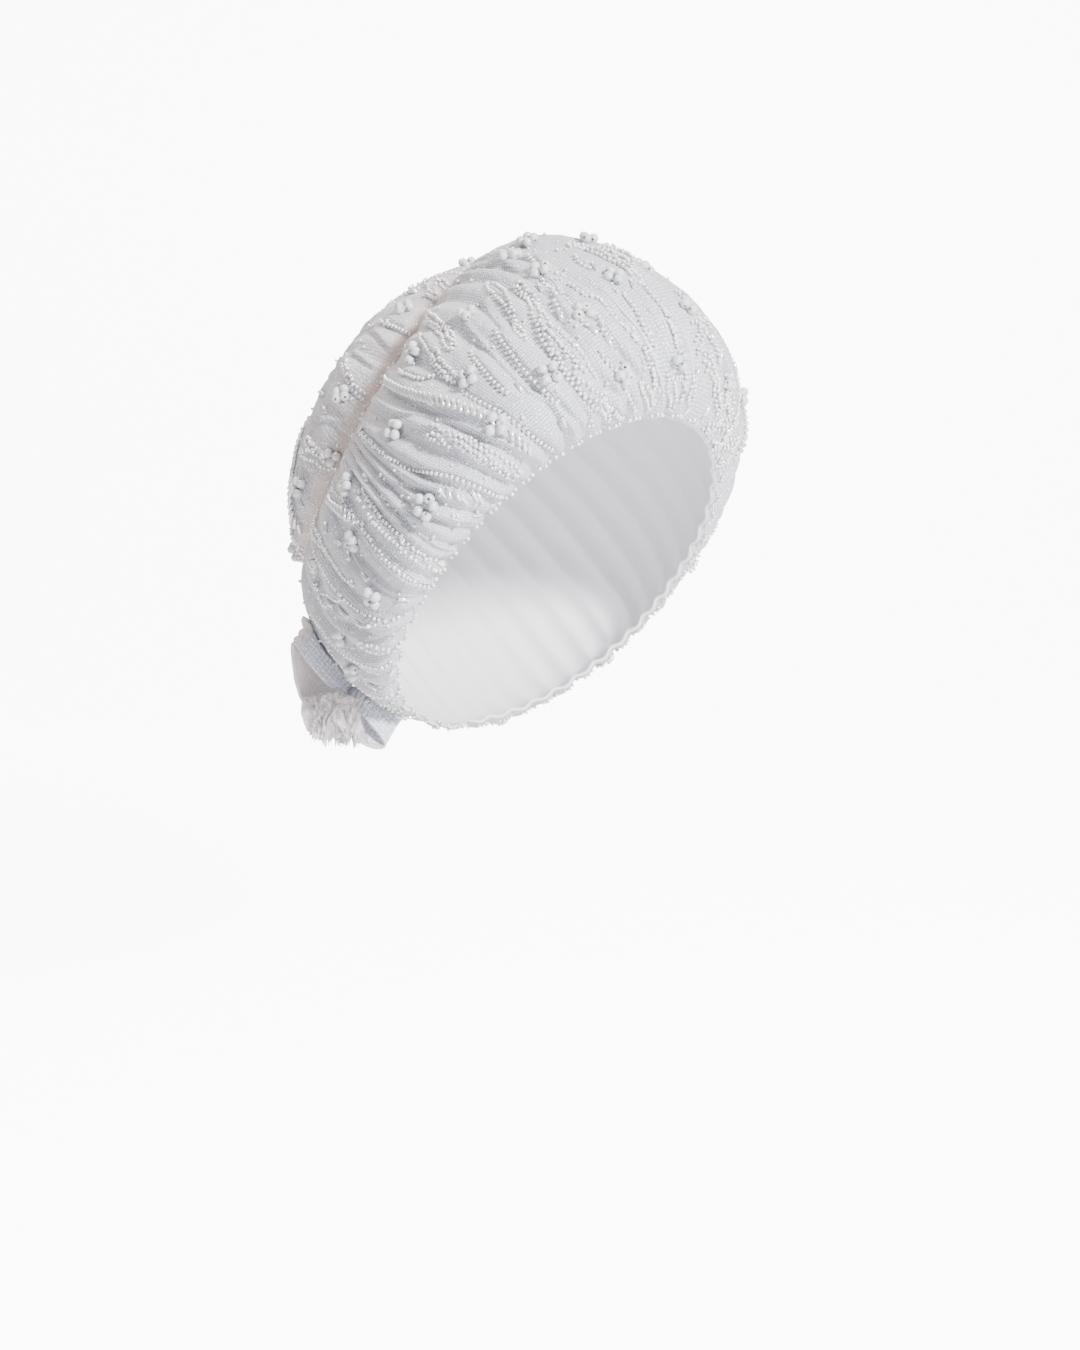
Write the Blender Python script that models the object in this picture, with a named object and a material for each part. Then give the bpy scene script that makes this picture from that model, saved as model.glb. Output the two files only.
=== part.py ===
"""A ruched and beaded cap with a small bow, in the tilt in which it is worn.

The cap is drawn upright in the frame of its own head opening, whose centre is the origin, and an empty
tilts it to the worn pose: +Z is up and the wearer looks along -Y. Angles run round the opening from the
wearer's left: 90 degrees is the back of the head, 180 the wearer's right and 270 the forehead.
All sizes are in metres.
"""
import math
from collections import namedtuple

import bpy
import numpy as np
from mathutils import Matrix, Vector
from mathutils.bvhtree import BVHTree

MM = 0.001

# the worn pose: how far the opening is rolled to the wearer's right and tipped back, in degrees
OPENING_ROLL = 43.2
OPENING_TIP_BACK = 34.4

# the oval of the head opening
OPENING_HALF_WIDE = 89 * MM
OPENING_HALF_DEEP = 97.5 * MM
OPENING_OVAL = (0.064, -0.04)
OPENING_SADDLE = 1.4 * MM

# the oval seam between the band and the tip, and how the crown leans away from the opening
CREASE_CENTRE = np.array([-5.7, -18.5, 119.2]) * MM
CREASE_HALF_WIDE = 90 * MM
CREASE_HALF_DEEP = 74 * MM
CROWN_LEAN_SIDE = 16.7
CROWN_LEAN_BACK = -21.1
CROWN_TURN = -6.2
CREASE_GROOVE = 4 * MM
GROOVE_SHARE = 0.08
GROOVE_POWER = 1.4
SLANT = 0.7
SEAM_GAP = 0.4 * MM

# how the puff of the band and the tip swells round the cap: the mean, the parts that follow the cosine
# and sine of the angle and of twice the angle, and the cosine of three times the angle, all in mm
Swell = namedtuple("Swell", "mean cos sin cos2 sin2 cos3")
HEM_OUT = Swell(43.2, 22.5, 4.4, -3.8, -1.0, 0.0)
HEM_UP = Swell(-4.1, 3.0, 13.1, 0.0, 0.0, 0.0)
CREST_OUT = Swell(38.4, 11.8, -1.1, 0.0, 1.0, 0.0)
CREST_DOWN = Swell(26.1, 1.9, 14.4, -7.7, 0.4, 5.8)
TIP_OUT = Swell(-10.2, -4.6, 0.0, 0.0, 0.0, 0.0)
TIP_UP = Swell(17.0, -4.0, 1.7, 0.0, -1.0, 0.0)
POLE = np.array([5.5, -12.8, 36.3]) * MM
POLE_FLAT = 41 * MM

# the dent that the bow presses into the band
DENT_DEPTH = 6 * MM
DENT_ANGLE = 172.0
DENT_REACH = 15.0

CLOTH_THICK = 2.0 * MM
PLEAT_SINK = 1.3 * MM
TOUCH = 0.3 * MM
SEAT_STEP = 0.05 * MM

# the pleats that show: where each crest meets the opening and the seam, in degrees, and its height in mm
Pleat = namedtuple("Pleat", "rim_deg crease_deg high")
PLEATS = [
    Pleat(192, 189, 2.6), Pleat(199, 196, 3.0), Pleat(207, 203, 2.6), Pleat(215, 210, 3.0),
    Pleat(223, 219, 2.6), Pleat(231, 228, 3.0), Pleat(238, 238, 2.6), Pleat(245, 247, 3.0),
    Pleat(251, 253, 3.2), Pleat(257, 256, 2.4), Pleat(263, 258, 2.8), Pleat(269, 260, 2.4),
    Pleat(275, 262, 2.6), Pleat(281, 265, 3.2), Pleat(287, 271, 2.8), Pleat(293, 278, 3.2),
    Pleat(298, 288, 2.8), Pleat(303, 297, 3.0), Pleat(309, 305, 2.6), Pleat(315, 311, 3.2),
    Pleat(322, 316, 2.6), Pleat(330, 321, 3.2), Pleat(338, 329, 2.6), Pleat(346, 338, 3.0),
    Pleat(354, 347, 2.6),
]
HIDDEN_PLEATS = 23
HIDDEN_PLEAT_HIGH = (2.6, 3.0)
COLUMNS_PER_PLEAT = 4
PLEAT_HALF_WAY = 0.6
PLEAT_AT_ENDS = 0.75
PLEAT_FADE = 0.1
BAND_LEVELS = (0.0, 0.05, 0.14, 0.27, 0.43, 0.6, 0.76, 0.9, 1.0)

TIP_PLEATS = 30
TIP_PLEAT_HIGH = 1.8
TIP_PLEAT_POWER = 0.7
TIP_LEVELS = (0.0, 0.1, 0.26, 0.5, 0.78)

# the bow: its knot end of the near edge, the way across its ribbon, and the cloth
BOW_PLACE = np.array([-101.0, -10.0, -57.5]) * MM
RIBBON_ACROSS = np.array([12.0, 30.0, 17.0]) * MM
RIBBON_THICK = 1.8 * MM
RIBBON_STATIONS = 5
PINCH_NEAR = 0.12
PINCH_FAR = 0.55
# each loop of the bow, round its near edge: to the right and up from the knot, how far the ribbon is opened
# out of its pinch, and how far it keeps off the band, in mm
LoopPoint = namedtuple("LoopPoint", "right up open clear")
UPPER_LOOP = [
    LoopPoint(-5.0, 3.5, 0.15, 2.0), LoopPoint(-10.5, 9.0, 0.5, 1.9), LoopPoint(-17.5, 17.5, 0.85, 1.9),
    LoopPoint(-24.0, 26.0, 0.7, 1.9), LoopPoint(-27.0, 29.0, 0.5, 2.4), LoopPoint(-28.0, 26.5, 0.6, 4.0),
    LoopPoint(-26.5, 19.0, 1.0, 7.0), LoopPoint(-25.0, 8.0, 0.95, 8.5), LoopPoint(-21.5, -0.5, 0.8, 9.5),
    LoopPoint(-14.0, -2.5, 0.5, 9.0), LoopPoint(-8.0, 0.0, 0.15, 6.0),
]
LOWER_LOOP = [
    LoopPoint(3.8, -4.6, 0.15, 1.8), LoopPoint(8.5, -9.0, 0.6, 1.6), LoopPoint(13.5, -14.5, 0.95, 1.6),
    LoopPoint(16.0, -19.0, 1.0, 2.5), LoopPoint(14.0, -21.0, 1.0, 4.5), LoopPoint(8.0, -20.0, 1.0, 6.5),
    LoopPoint(2.5, -16.5, 0.7, 8.0), LoopPoint(0.0, -9.5, 0.15, 5.5),
]
LOOP_POINTS = 20

KNOT_HALF_LONG = 4.0 * MM
KNOT_HALF_WIDE = 9.5 * MM
KNOT_HALF_HIGH = 5.4 * MM
KNOT_ALONG = np.array([-0.66, 0.0, 0.75])
KNOT_SHARE = 0.28
KNOT_SIDES = 12
KNOT_RINGS = 7
KNOT_PINCHES = 3
KNOT_PINCH = 0.06
KNOT_FULLNESS = 0.6

TUFT_THICK = 1.4 * MM
TUFT_HEAD_THICK = 5.0 * MM
TUFT_TOP_HALF = 6.0 * MM
TUFT_BOTTOM_HALF = 12.5 * MM
TUFT_DRIFT = 4.5 * MM
TUFT_STRIPS = 6
TUFT_LENGTHS = (14.0, 16.5, 18.5, 19.0, 17.5, 15.0)
TUFT_NOTCH = 5.0
TUFT_DROPS = (0.0, 0.3, 0.6, 1.0)
TUFT_RIPPLE = 1.0 * MM
TUFT_PLACE = np.array([-3.8, -5.7, -1.0]) * MM

BEAD_RADIUS = 2.3 * MM
BEAD_APART = 4.2 * MM
BEAD_SIDES = 10
BEAD_LATITUDES = (-50, 0, 50)
# the clusters of pearls: the piece they are sewn to, their place round it in degrees and up it as a share
# from the opening to the seam, or from the seam to the pole, their beads and their turn
Cluster = namedtuple("Cluster", "on around_deg up beads turn_deg")
CLUSTERS = [
    Cluster("band", 318, 0.73, 5, 10), Cluster("band", 316, 0.60, 4, 40), Cluster("band", 298, 0.66, 3, 15),
    Cluster("band", 314, 0.41, 4, 70), Cluster("band", 285, 0.78, 4, 30), Cluster("band", 288, 0.50, 4, 20),
    Cluster("band", 300, 0.31, 4, 55), Cluster("band", 270, 0.65, 4, 65), Cluster("band", 286, 0.31, 4, 10),
    Cluster("band", 264, 0.34, 5, 0), Cluster("band", 244, 0.59, 4, 25), Cluster("tip", 304, 0.23, 4, 45),
]

CLOTH_WHITE = (0.80, 0.80, 0.82)
RIBBON_WHITE = (0.74, 0.75, 0.78)
PEARL_WHITE = (0.86, 0.86, 0.85)


def lean_axes(roll, tip_back, turn=0.0):
    """Rows of the axes of a frame rolled to the wearer's right, tipped back and turned about its own z."""
    r, t, s = (math.radians(angle) for angle in (roll, tip_back, turn))
    x = np.array([math.cos(r), 0.0, math.sin(r)])
    z = np.array([-math.sin(r) * math.cos(t), math.sin(t), math.cos(r) * math.cos(t)])
    y = np.cross(z, x)
    return np.stack([math.cos(s) * x + math.sin(s) * y, -math.sin(s) * x + math.cos(s) * y, z])


WORN = lean_axes(OPENING_ROLL, OPENING_TIP_BACK)
CROWN = lean_axes(CROWN_LEAN_SIDE, CROWN_LEAN_BACK, CROWN_TURN)


def swelling(swell, a):
    """The swell in metres at each angle a, in radians."""
    waves = (np.cos(a), np.sin(a), np.cos(2 * a), np.sin(2 * a), np.cos(3 * a))
    total = swell.mean + sum(size * wave for size, wave in zip(swell[1:], waves))
    return total[..., None] * MM


def cubic(p0, p1, p2, p3, share):
    """Points on a cubic curve between p0 and p3."""
    s = share[..., None]
    return (1 - s) ** 3 * p0 + 3 * (1 - s) ** 2 * s * p1 + 3 * (1 - s) * s ** 2 * p2 + s ** 3 * p3


def rim_line(a):
    """The edge of the head opening."""
    grow = 1 + OPENING_OVAL[0] * np.cos(2 * a) + OPENING_OVAL[1] * np.sin(2 * a)
    return np.stack([grow * OPENING_HALF_WIDE * np.cos(a), grow * OPENING_HALF_DEEP * np.sin(a),
                     OPENING_SADDLE * np.cos(2 * a)], axis=-1)


def crease_line(a):
    """The seam between band and tip, before its groove."""
    across = np.cos(a)[..., None] * CROWN[0] * CREASE_HALF_WIDE
    along = np.sin(a)[..., None] * CROWN[1] * CREASE_HALF_DEEP
    return CREASE_CENTRE + across + along


def groove(from_seam, out):
    """The dip that the seam pulls into the cloth beside it."""
    depth = CREASE_GROOVE * np.exp(-(from_seam / GROOVE_SHARE) ** GROOVE_POWER)
    return depth[..., None] * SLANT * (out + CROWN[2])


def band_form(a, up):
    """The band's smooth outer form at angle a and share up, from the opening to the seam."""
    out = np.stack([np.cos(a), np.sin(a), 0 * a], axis=-1)
    crown_out = np.cos(a)[..., None] * CROWN[0] + np.sin(a)[..., None] * CROWN[1]
    rim, crease = rim_line(a), crease_line(a)
    hem = rim + swelling(HEM_OUT, a) * out + swelling(HEM_UP, a) * np.array([0.0, 0.0, 1.0])
    crest = crease + swelling(CREST_OUT, a) * crown_out - swelling(CREST_DOWN, a) * CROWN[2]
    form = cubic(rim, hem, crest, crease, up) - groove(1 - up, crown_out)
    off = (np.degrees(a) % 360 - DENT_ANGLE) / DENT_REACH
    dent = DENT_DEPTH * np.exp(-off ** 2) * np.sin(np.pi * np.clip(up, 0, 1)) ** 0.5
    return form - dent[..., None] * out


def tip_form(a, up):
    """The tip's smooth outer form at angle a and share up, from the seam to the pole."""
    crown_out = np.cos(a)[..., None] * CROWN[0] + np.sin(a)[..., None] * CROWN[1]
    crease = crease_line(a)
    pole = CREASE_CENTRE + POLE @ CROWN
    edge = crease + swelling(TIP_OUT, a) * crown_out + swelling(TIP_UP, a) * CROWN[2]
    return cubic(crease, edge, pole + POLE_FLAT * crown_out, pole + 0 * crease, up) - groove(up, crown_out)


def outward(form, a, up):
    """Unit vectors that stand out of a form at angle a and share up."""
    step = 0.002
    low, high = np.clip(up - step, 0, 1), np.clip(up + step, 0, 1)
    round_it = form(a + step, up) - form(a - step, up)
    up_it = form(a, high) - form(a, low)
    normal = np.cross(round_it, up_it)
    return normal / np.linalg.norm(normal, axis=-1, keepdims=True)


def all_pleats():
    """The pleats that show, and plain ones round the rest of the cap."""
    first, last = PLEATS[0], PLEATS[-1]
    pleats = list(PLEATS)
    for i in range(1, HIDDEN_PLEATS + 1):
        share = i / (HIDDEN_PLEATS + 1)
        rim = last.rim_deg + share * (first.rim_deg + 360 - last.rim_deg)
        crease = last.crease_deg + share * (first.crease_deg + 360 - last.crease_deg)
        pleats.append(Pleat(rim, crease, HIDDEN_PLEAT_HIGH[i % len(HIDDEN_PLEAT_HIGH)]))
    return pleats


def band_grid(levels, per_pleat):
    """Angle, share up and pleat height of the band's grid, a column at a time, in radians and metres."""
    pleats = all_pleats()
    count = len(pleats) * per_pleat
    levels = np.array(levels)
    angles, heights = np.empty((count, len(levels))), np.empty((count, len(levels)))
    waves = {0.0: 1.0, 0.25: PLEAT_HALF_WAY, 0.5: 0.0, 0.75: PLEAT_HALF_WAY}
    fade = PLEAT_AT_ENDS + (1 - PLEAT_AT_ENDS) * np.sin(np.pi * levels)
    fade *= np.clip((1 - levels) / PLEAT_FADE, 0, 1)
    for column in range(count):
        here = pleats[column // per_pleat]
        after = pleats[(column // per_pleat + 1) % len(pleats)]
        share = column % per_pleat / per_pleat
        rim_step = (after.rim_deg - here.rim_deg) % 360
        crease_step = (after.crease_deg - here.crease_deg) % 360
        rim = here.rim_deg + share * rim_step
        crease = here.crease_deg + share * crease_step
        turn = (rim - crease + 180) % 360 - 180
        angles[column] = np.radians(crease + turn * (1 - levels) ** 2)
        heights[column] = (here.high + share * (after.high - here.high)) * MM * waves[share] * fade
    return angles, np.broadcast_to(levels, angles.shape), heights


def tip_grid(levels, per_pleat):
    """Angle, share up and pleat height of the tip's grid, a column at a time, in radians and metres."""
    count = TIP_PLEATS * per_pleat
    levels = np.array(levels)
    angles = np.radians(360 * np.arange(count) / count)[:, None] + 0 * levels
    wave = 0.5 + 0.5 * np.cos(angles * TIP_PLEATS)
    fade = np.clip(levels / PLEAT_FADE, 0, 1) * (1 - levels) ** TIP_PLEAT_POWER
    return angles, np.broadcast_to(levels, angles.shape), wave * fade * TIP_PLEAT_HIGH * MM


def skin(form, grid, inset):
    """Points of one side of a cloth wall, inset from the pleated surface."""
    a, up, high = grid
    return form(a, up) + outward(form, a, up) * (high - PLEAT_SINK - inset)[..., None]


def seam_edge(a, inset, side):
    """Points of a cloth's edge at the seam, on its own side of the gap between band and tip."""
    crown_out = np.cos(a)[..., None] * CROWN[0] + np.sin(a)[..., None] * CROWN[1]
    inward = -SLANT * (crown_out + CROWN[2])
    along = SLANT * (CROWN[2] - crown_out)
    seam = crease_line(a) + CREASE_GROOVE * inward
    return seam + inset * inward + side * SEAM_GAP / 2 * along


def strip_faces(outer, inner, flip):
    """Faces of the edge strip between an outer line and an inner line of half as many points."""
    faces, count = [], len(outer)
    for k in range(len(inner)):
        a, b, c = outer[2 * k], outer[2 * k + 1], outer[(2 * k + 2) % count]
        d, e = inner[k], inner[(k + 1) % len(inner)]
        faces += [(a, b, d), (b, c, e), (b, e, d)]
    return [face[::-1] for face in faces] if flip else faces


def sheet_faces(index, flip):
    """Faces of a grid of vertex numbers that closes round its first direction."""
    faces = []
    for i in range(len(index)):
        j = (i + 1) % len(index)
        for k in range(index.shape[1] - 1):
            faces.append((index[i, k], index[j, k], index[j, k + 1], index[i, k + 1]))
    return [face[::-1] for face in faces] if flip else faces


def band_shell():
    """Vertices and faces of the band's cloth wall."""
    outer = skin(band_form, band_grid(BAND_LEVELS, COLUMNS_PER_PLEAT), 0.0)
    grid = band_grid(BAND_LEVELS, COLUMNS_PER_PLEAT // 2)
    inner = skin(band_form, grid, CLOTH_THICK)
    outer_angles = band_grid(BAND_LEVELS, COLUMNS_PER_PLEAT)[0][:, -1]
    outer[:, -1] = seam_edge(outer_angles, 0.0, -1)
    inner[:, -1] = seam_edge(grid[0][:, -1], CLOTH_THICK, -1)
    out_index = np.arange(outer[..., 0].size).reshape(outer.shape[:2])
    in_index = out_index.size + np.arange(inner[..., 0].size).reshape(inner.shape[:2])
    faces = sheet_faces(out_index, False) + sheet_faces(in_index, True)
    faces += strip_faces(out_index[:, 0], in_index[:, 0], True)
    faces += strip_faces(out_index[:, -1], in_index[:, -1], False)
    return np.concatenate([outer.reshape(-1, 3), inner.reshape(-1, 3)]), faces


def tip_shell():
    """Vertices and faces of the tip's cloth wall, closed over its pole."""
    outer_grid = tip_grid(TIP_LEVELS, COLUMNS_PER_PLEAT)
    inner_grid = tip_grid(TIP_LEVELS, COLUMNS_PER_PLEAT // 2)
    outer = skin(tip_form, outer_grid, 0.0)
    inner = skin(tip_form, inner_grid, CLOTH_THICK)
    outer[:, 0] = seam_edge(outer_grid[0][:, 0], 0.0, 1)
    inner[:, 0] = seam_edge(inner_grid[0][:, 0], CLOTH_THICK, 1)
    pole = CREASE_CENTRE + POLE @ CROWN
    points = np.concatenate([outer.reshape(-1, 3), inner.reshape(-1, 3), [pole, pole - CLOTH_THICK * CROWN[2]]])
    out_index = np.arange(outer[..., 0].size).reshape(outer.shape[:2])
    in_index = out_index.size + np.arange(inner[..., 0].size).reshape(inner.shape[:2])
    faces = sheet_faces(out_index, False) + sheet_faces(in_index, True)
    faces += strip_faces(out_index[:, 0], in_index[:, 0], True)
    top, under = len(points) - 2, len(points) - 1
    faces += [(out_index[i, -1], out_index[(i + 1) % len(out_index), -1], top) for i in range(len(out_index))]
    faces += [(in_index[(i + 1) % len(in_index), -1], in_index[i, -1], under) for i in range(len(in_index))]
    return points, faces


def cloth_cover(form, grid):
    """A search tree of the surface that touches the crests of a cloth's pleats, in the opening's frame."""
    points = skin(form, grid, 0.0)
    index = np.arange(points[..., 0].size).reshape(points.shape[:2])
    faces = [tuple(int(i) for i in face) for face in sheet_faces(index, False)]
    return BVHTree.FromPolygons([Vector(point) for point in points.reshape(-1, 3)], faces)


def lay_over(cover, point, least):
    """The point, moved off the cover where it is closer than least to it."""
    near, normal, _, _ = cover.find_nearest(Vector(point))
    if (Vector(point) - near).dot(normal) >= least:
        return np.array(point)
    return np.array(near + normal * least)


def closed_curve(rows, count):
    """Points on a smooth closed curve through the rows of a table."""
    rows = np.array(rows, dtype=float)
    points = []
    for i in range(count):
        place = i * len(rows) / count
        k, t = int(place), place % 1
        p0, p1, p2, p3 = (rows[(k + j) % len(rows)] for j in (-1, 0, 1, 2))
        points.append(0.5 * (2 * p1 + (p2 - p0) * t + (2 * p0 - 5 * p1 + 4 * p2 - p3) * t ** 2
                             + (3 * p1 - p0 - 3 * p2 + p3) * t ** 3))
    return np.array(points)


def loop_shell(rows, cover):
    """Vertices and faces of one ribbon loop of the bow, from the knot's place."""
    line = closed_curve(rows, LOOP_POINTS)
    middle = np.empty((LOOP_POINTS, RIBBON_STATIONS, 3))
    for i, (right, up, opened, clear) in enumerate(line):
        near, far = PINCH_NEAR * (1 - opened), PINCH_FAR + (1 - PINCH_FAR) * opened
        for j, share in enumerate(np.linspace(near, far, RIBBON_STATIONS)):
            place = BOW_PLACE + np.array([right, 0.0, up]) * MM + share * RIBBON_ACROSS
            middle[i, j] = lay_over(cover, WORN @ place, clear * MM) @ WORN - BOW_PLACE
    along = np.roll(middle, -1, axis=0) - np.roll(middle, 1, axis=0)
    across = np.gradient(middle, axis=1)
    stand = np.cross(along, across)
    stand /= np.linalg.norm(stand, axis=-1, keepdims=True)
    sides = [middle + stand * RIBBON_THICK / 2, middle - stand * RIBBON_THICK / 2]
    one = np.arange(LOOP_POINTS * RIBBON_STATIONS).reshape(LOOP_POINTS, RIBBON_STATIONS)
    two = one + one.size
    faces = sheet_faces(one, False) + sheet_faces(two, True)
    for i in range(LOOP_POINTS):
        j = (i + 1) % LOOP_POINTS
        faces.append((one[i, 0], two[i, 0], two[j, 0], one[j, 0]))
        faces.append((one[j, -1], two[j, -1], two[i, -1], one[i, -1]))
    return np.concatenate([side.reshape(-1, 3) for side in sides]), faces


def knot_shell(cover):
    """Vertices and faces of the bow's wrapped knot, from the knot's place."""
    across = RIBBON_ACROSS / np.linalg.norm(RIBBON_ACROSS)
    along = KNOT_ALONG - across * KNOT_ALONG.dot(across)
    along /= np.linalg.norm(along)
    high = np.cross(across, along)
    points = []
    for ring in range(1, KNOT_RINGS):
        lift = math.pi * ring / KNOT_RINGS
        for side in range(KNOT_SIDES):
            turn = 2 * math.pi * side / KNOT_SIDES
            waist = 1 - KNOT_PINCH * math.cos(turn * KNOT_PINCHES)
            wide = math.sin(lift) ** KNOT_FULLNESS * waist
            points.append(along * KNOT_HALF_LONG * math.cos(lift)
                          + across * KNOT_HALF_WIDE * wide * math.cos(turn)
                          + high * KNOT_HALF_HIGH * wide * math.sin(turn))
    points += [along * KNOT_HALF_LONG, -along * KNOT_HALF_LONG]
    index = np.arange((KNOT_RINGS - 1) * KNOT_SIDES).reshape(KNOT_RINGS - 1, KNOT_SIDES).T
    faces = sheet_faces(index, False)
    first, last = len(points) - 2, len(points) - 1
    faces += [(index[(i + 1) % KNOT_SIDES, 0], index[i, 0], first) for i in range(KNOT_SIDES)]
    faces += [(index[i, -1], index[(i + 1) % KNOT_SIDES, -1], last) for i in range(KNOT_SIDES)]
    centre = BOW_PLACE + KNOT_SHARE * RIBBON_ACROSS
    _, normal, _, _ = cover.find_nearest(Vector(WORN @ centre))
    height = seated(cover, [WORN @ (centre + point) for point in points], np.array(normal), TOUCH)
    return np.array(points) + centre + np.array(normal) @ WORN * height - BOW_PLACE, faces


def tuft_shell():
    """Vertices and faces of the frayed tuft: strips of uneven length that grow from one thick head."""
    columns, levels = 2 * TUFT_STRIPS + 1, len(TUFT_DROPS)
    front = np.empty((columns, levels, 3))
    back = np.empty((columns, levels, 3))
    for i in range(columns):
        across = 2 * i / (columns - 1) - 1
        longest = TUFT_LENGTHS[min(i // 2, TUFT_STRIPS - 1)]
        length = (longest if i % 2 else longest - TUFT_NOTCH) * MM
        ripple = TUFT_RIPPLE if i % 2 else -TUFT_RIPPLE
        for k, drop in enumerate(TUFT_DROPS):
            half = TUFT_TOP_HALF + (TUFT_BOTTOM_HALF - TUFT_TOP_HALF) * drop
            thick = TUFT_THICK + (TUFT_HEAD_THICK - TUFT_THICK) * (1 - drop) ** 3
            front[i, k] = (half * across - TUFT_DRIFT * drop, ripple * drop, -length * drop)
            back[i, k] = front[i, k] + np.array([0.0, thick, 0.0])
    one = np.arange(columns * levels).reshape(columns, levels)
    two = one + one.size
    faces = []
    for i in range(columns - 1):
        for k in range(levels - 1):
            faces.append((one[i, k], one[i, k + 1], one[i + 1, k + 1], one[i + 1, k]))
            faces.append((two[i + 1, k], two[i + 1, k + 1], two[i, k + 1], two[i, k]))
        faces.append((one[i + 1, 0], two[i + 1, 0], two[i, 0], one[i, 0]))
        faces.append((one[i, -1], two[i, -1], two[i + 1, -1], one[i + 1, -1]))
    for k in range(levels - 1):
        faces.append((one[0, k], two[0, k], two[0, k + 1], one[0, k + 1]))
        faces.append((one[-1, k + 1], two[-1, k + 1], two[-1, k], one[-1, k]))
    return np.concatenate([front.reshape(-1, 3), back.reshape(-1, 3)]) + TUFT_PLACE, faces


def plain_material(name, colour, roughness):
    """A material with a Principled BSDF."""
    material = bpy.data.materials.new(name)
    material.use_nodes = True
    shader = material.node_tree.nodes["Principled BSDF"]
    shader.inputs["Base Color"].default_value = (*colour, 1.0)
    shader.inputs["Roughness"].default_value = roughness
    shader.inputs["Metallic"].default_value = 0.0
    return material


def new_object(name, shell, material, parent):
    """A smooth-shaded object from vertices and faces."""
    points, faces = shell
    mesh = bpy.data.meshes.new(name)
    mesh.from_pydata([tuple(point) for point in points], [], [tuple(int(i) for i in face) for face in faces])
    mesh.materials.append(material)
    mesh.shade_smooth()
    item = bpy.data.objects.new(name, mesh)
    item.parent = parent
    bpy.context.collection.objects.link(item)
    return item


def new_empty(name, place=(0.0, 0.0, 0.0), turn=(0.0, 0.0, 0.0)):
    """An empty that places the pieces under it."""
    empty = bpy.data.objects.new(name, None)
    empty.location = place
    empty.rotation_euler = turn
    bpy.context.collection.objects.link(empty)
    return empty


def bead_shell(centre):
    """Vertices and faces of one round bead."""
    points = []
    for latitude in BEAD_LATITUDES:
        lift = math.radians(latitude)
        for side in range(BEAD_SIDES):
            turn = 2 * math.pi * side / BEAD_SIDES
            points.append((math.cos(lift) * math.cos(turn), math.cos(lift) * math.sin(turn), math.sin(lift)))
    points += [(0.0, 0.0, -1.0), (0.0, 0.0, 1.0)]
    index = np.arange(len(BEAD_LATITUDES) * BEAD_SIDES).reshape(len(BEAD_LATITUDES), BEAD_SIDES).T
    faces = sheet_faces(index, False)
    low, high = len(points) - 2, len(points) - 1
    faces += [(index[(i + 1) % BEAD_SIDES, 0], index[i, 0], low) for i in range(BEAD_SIDES)]
    faces += [(index[i, -1], index[(i + 1) % BEAD_SIDES, -1], high) for i in range(BEAD_SIDES)]
    return np.array(points) * BEAD_RADIUS + centre, faces


def bead_places(beads):
    """Centres of the beads of a cluster, side by side round its middle."""
    ring = BEAD_APART / (2 * math.sin(math.pi / beads))
    turns = [2 * math.pi * i / beads for i in range(beads)]
    return [np.array([ring * math.cos(turn), ring * math.sin(turn), 0.0]) for turn in turns]


def cluster_mesh(beads, material):
    """One closed body of beads that press into each other."""
    pieces = [new_object(f"bead_{i}", bead_shell(place), material, None)
              for i, place in enumerate(bead_places(beads))]
    for other in pieces[1:]:
        union = pieces[0].modifiers.new("union", "BOOLEAN")
        union.operation = "UNION"
        union.object = other
    evaluated = pieces[0].evaluated_get(bpy.context.evaluated_depsgraph_get())
    mesh = bpy.data.meshes.new_from_object(evaluated)
    mesh.name = f"cluster_of_{beads}"
    for piece in pieces:
        bpy.data.objects.remove(piece)
    mesh.shade_smooth()
    return mesh


def clearance(cover, point):
    """How far a point stands off the cover, below zero inside it."""
    near, normal, _, distance = cover.find_nearest(Vector(point))
    return distance if (Vector(point) - near).dot(normal) > 0 else -distance


def seated(cover, points, normal, least):
    """How far along the normal the points have to rise until all of them stand off the cover by least."""
    height = 0.0
    while min(clearance(cover, point + normal * height) for point in points) < least:
        height += SEAT_STEP
    return height


def place_cluster(name, cluster, meshes, covers, parent):
    """A cluster of pearls, seated on the pleats of its cloth."""
    form = band_form if cluster.on == "band" else tip_form
    a, up = np.array([math.radians(cluster.around_deg)]), np.array([cluster.up])
    normal = outward(form, a, up)[0]
    turn = math.radians(cluster.turn_deg)
    spin = Matrix.Rotation(turn, 3, "Z")
    facing = Vector((0, 0, 1)).rotation_difference(Vector(normal)).to_matrix() @ spin
    offsets = [np.array(facing @ Vector(place)) for place in bead_places(cluster.beads)]
    base = form(a, up)[0] + normal * BEAD_RADIUS
    height = seated(covers[cluster.on], [base + offset for offset in offsets], normal, BEAD_RADIUS + TOUCH)
    item = bpy.data.objects.new(name, meshes[cluster.beads])
    item.parent = parent
    item.location = base + normal * height
    item.rotation_mode = "QUATERNION"
    item.rotation_quaternion = facing.to_quaternion()
    bpy.context.collection.objects.link(item)


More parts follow.
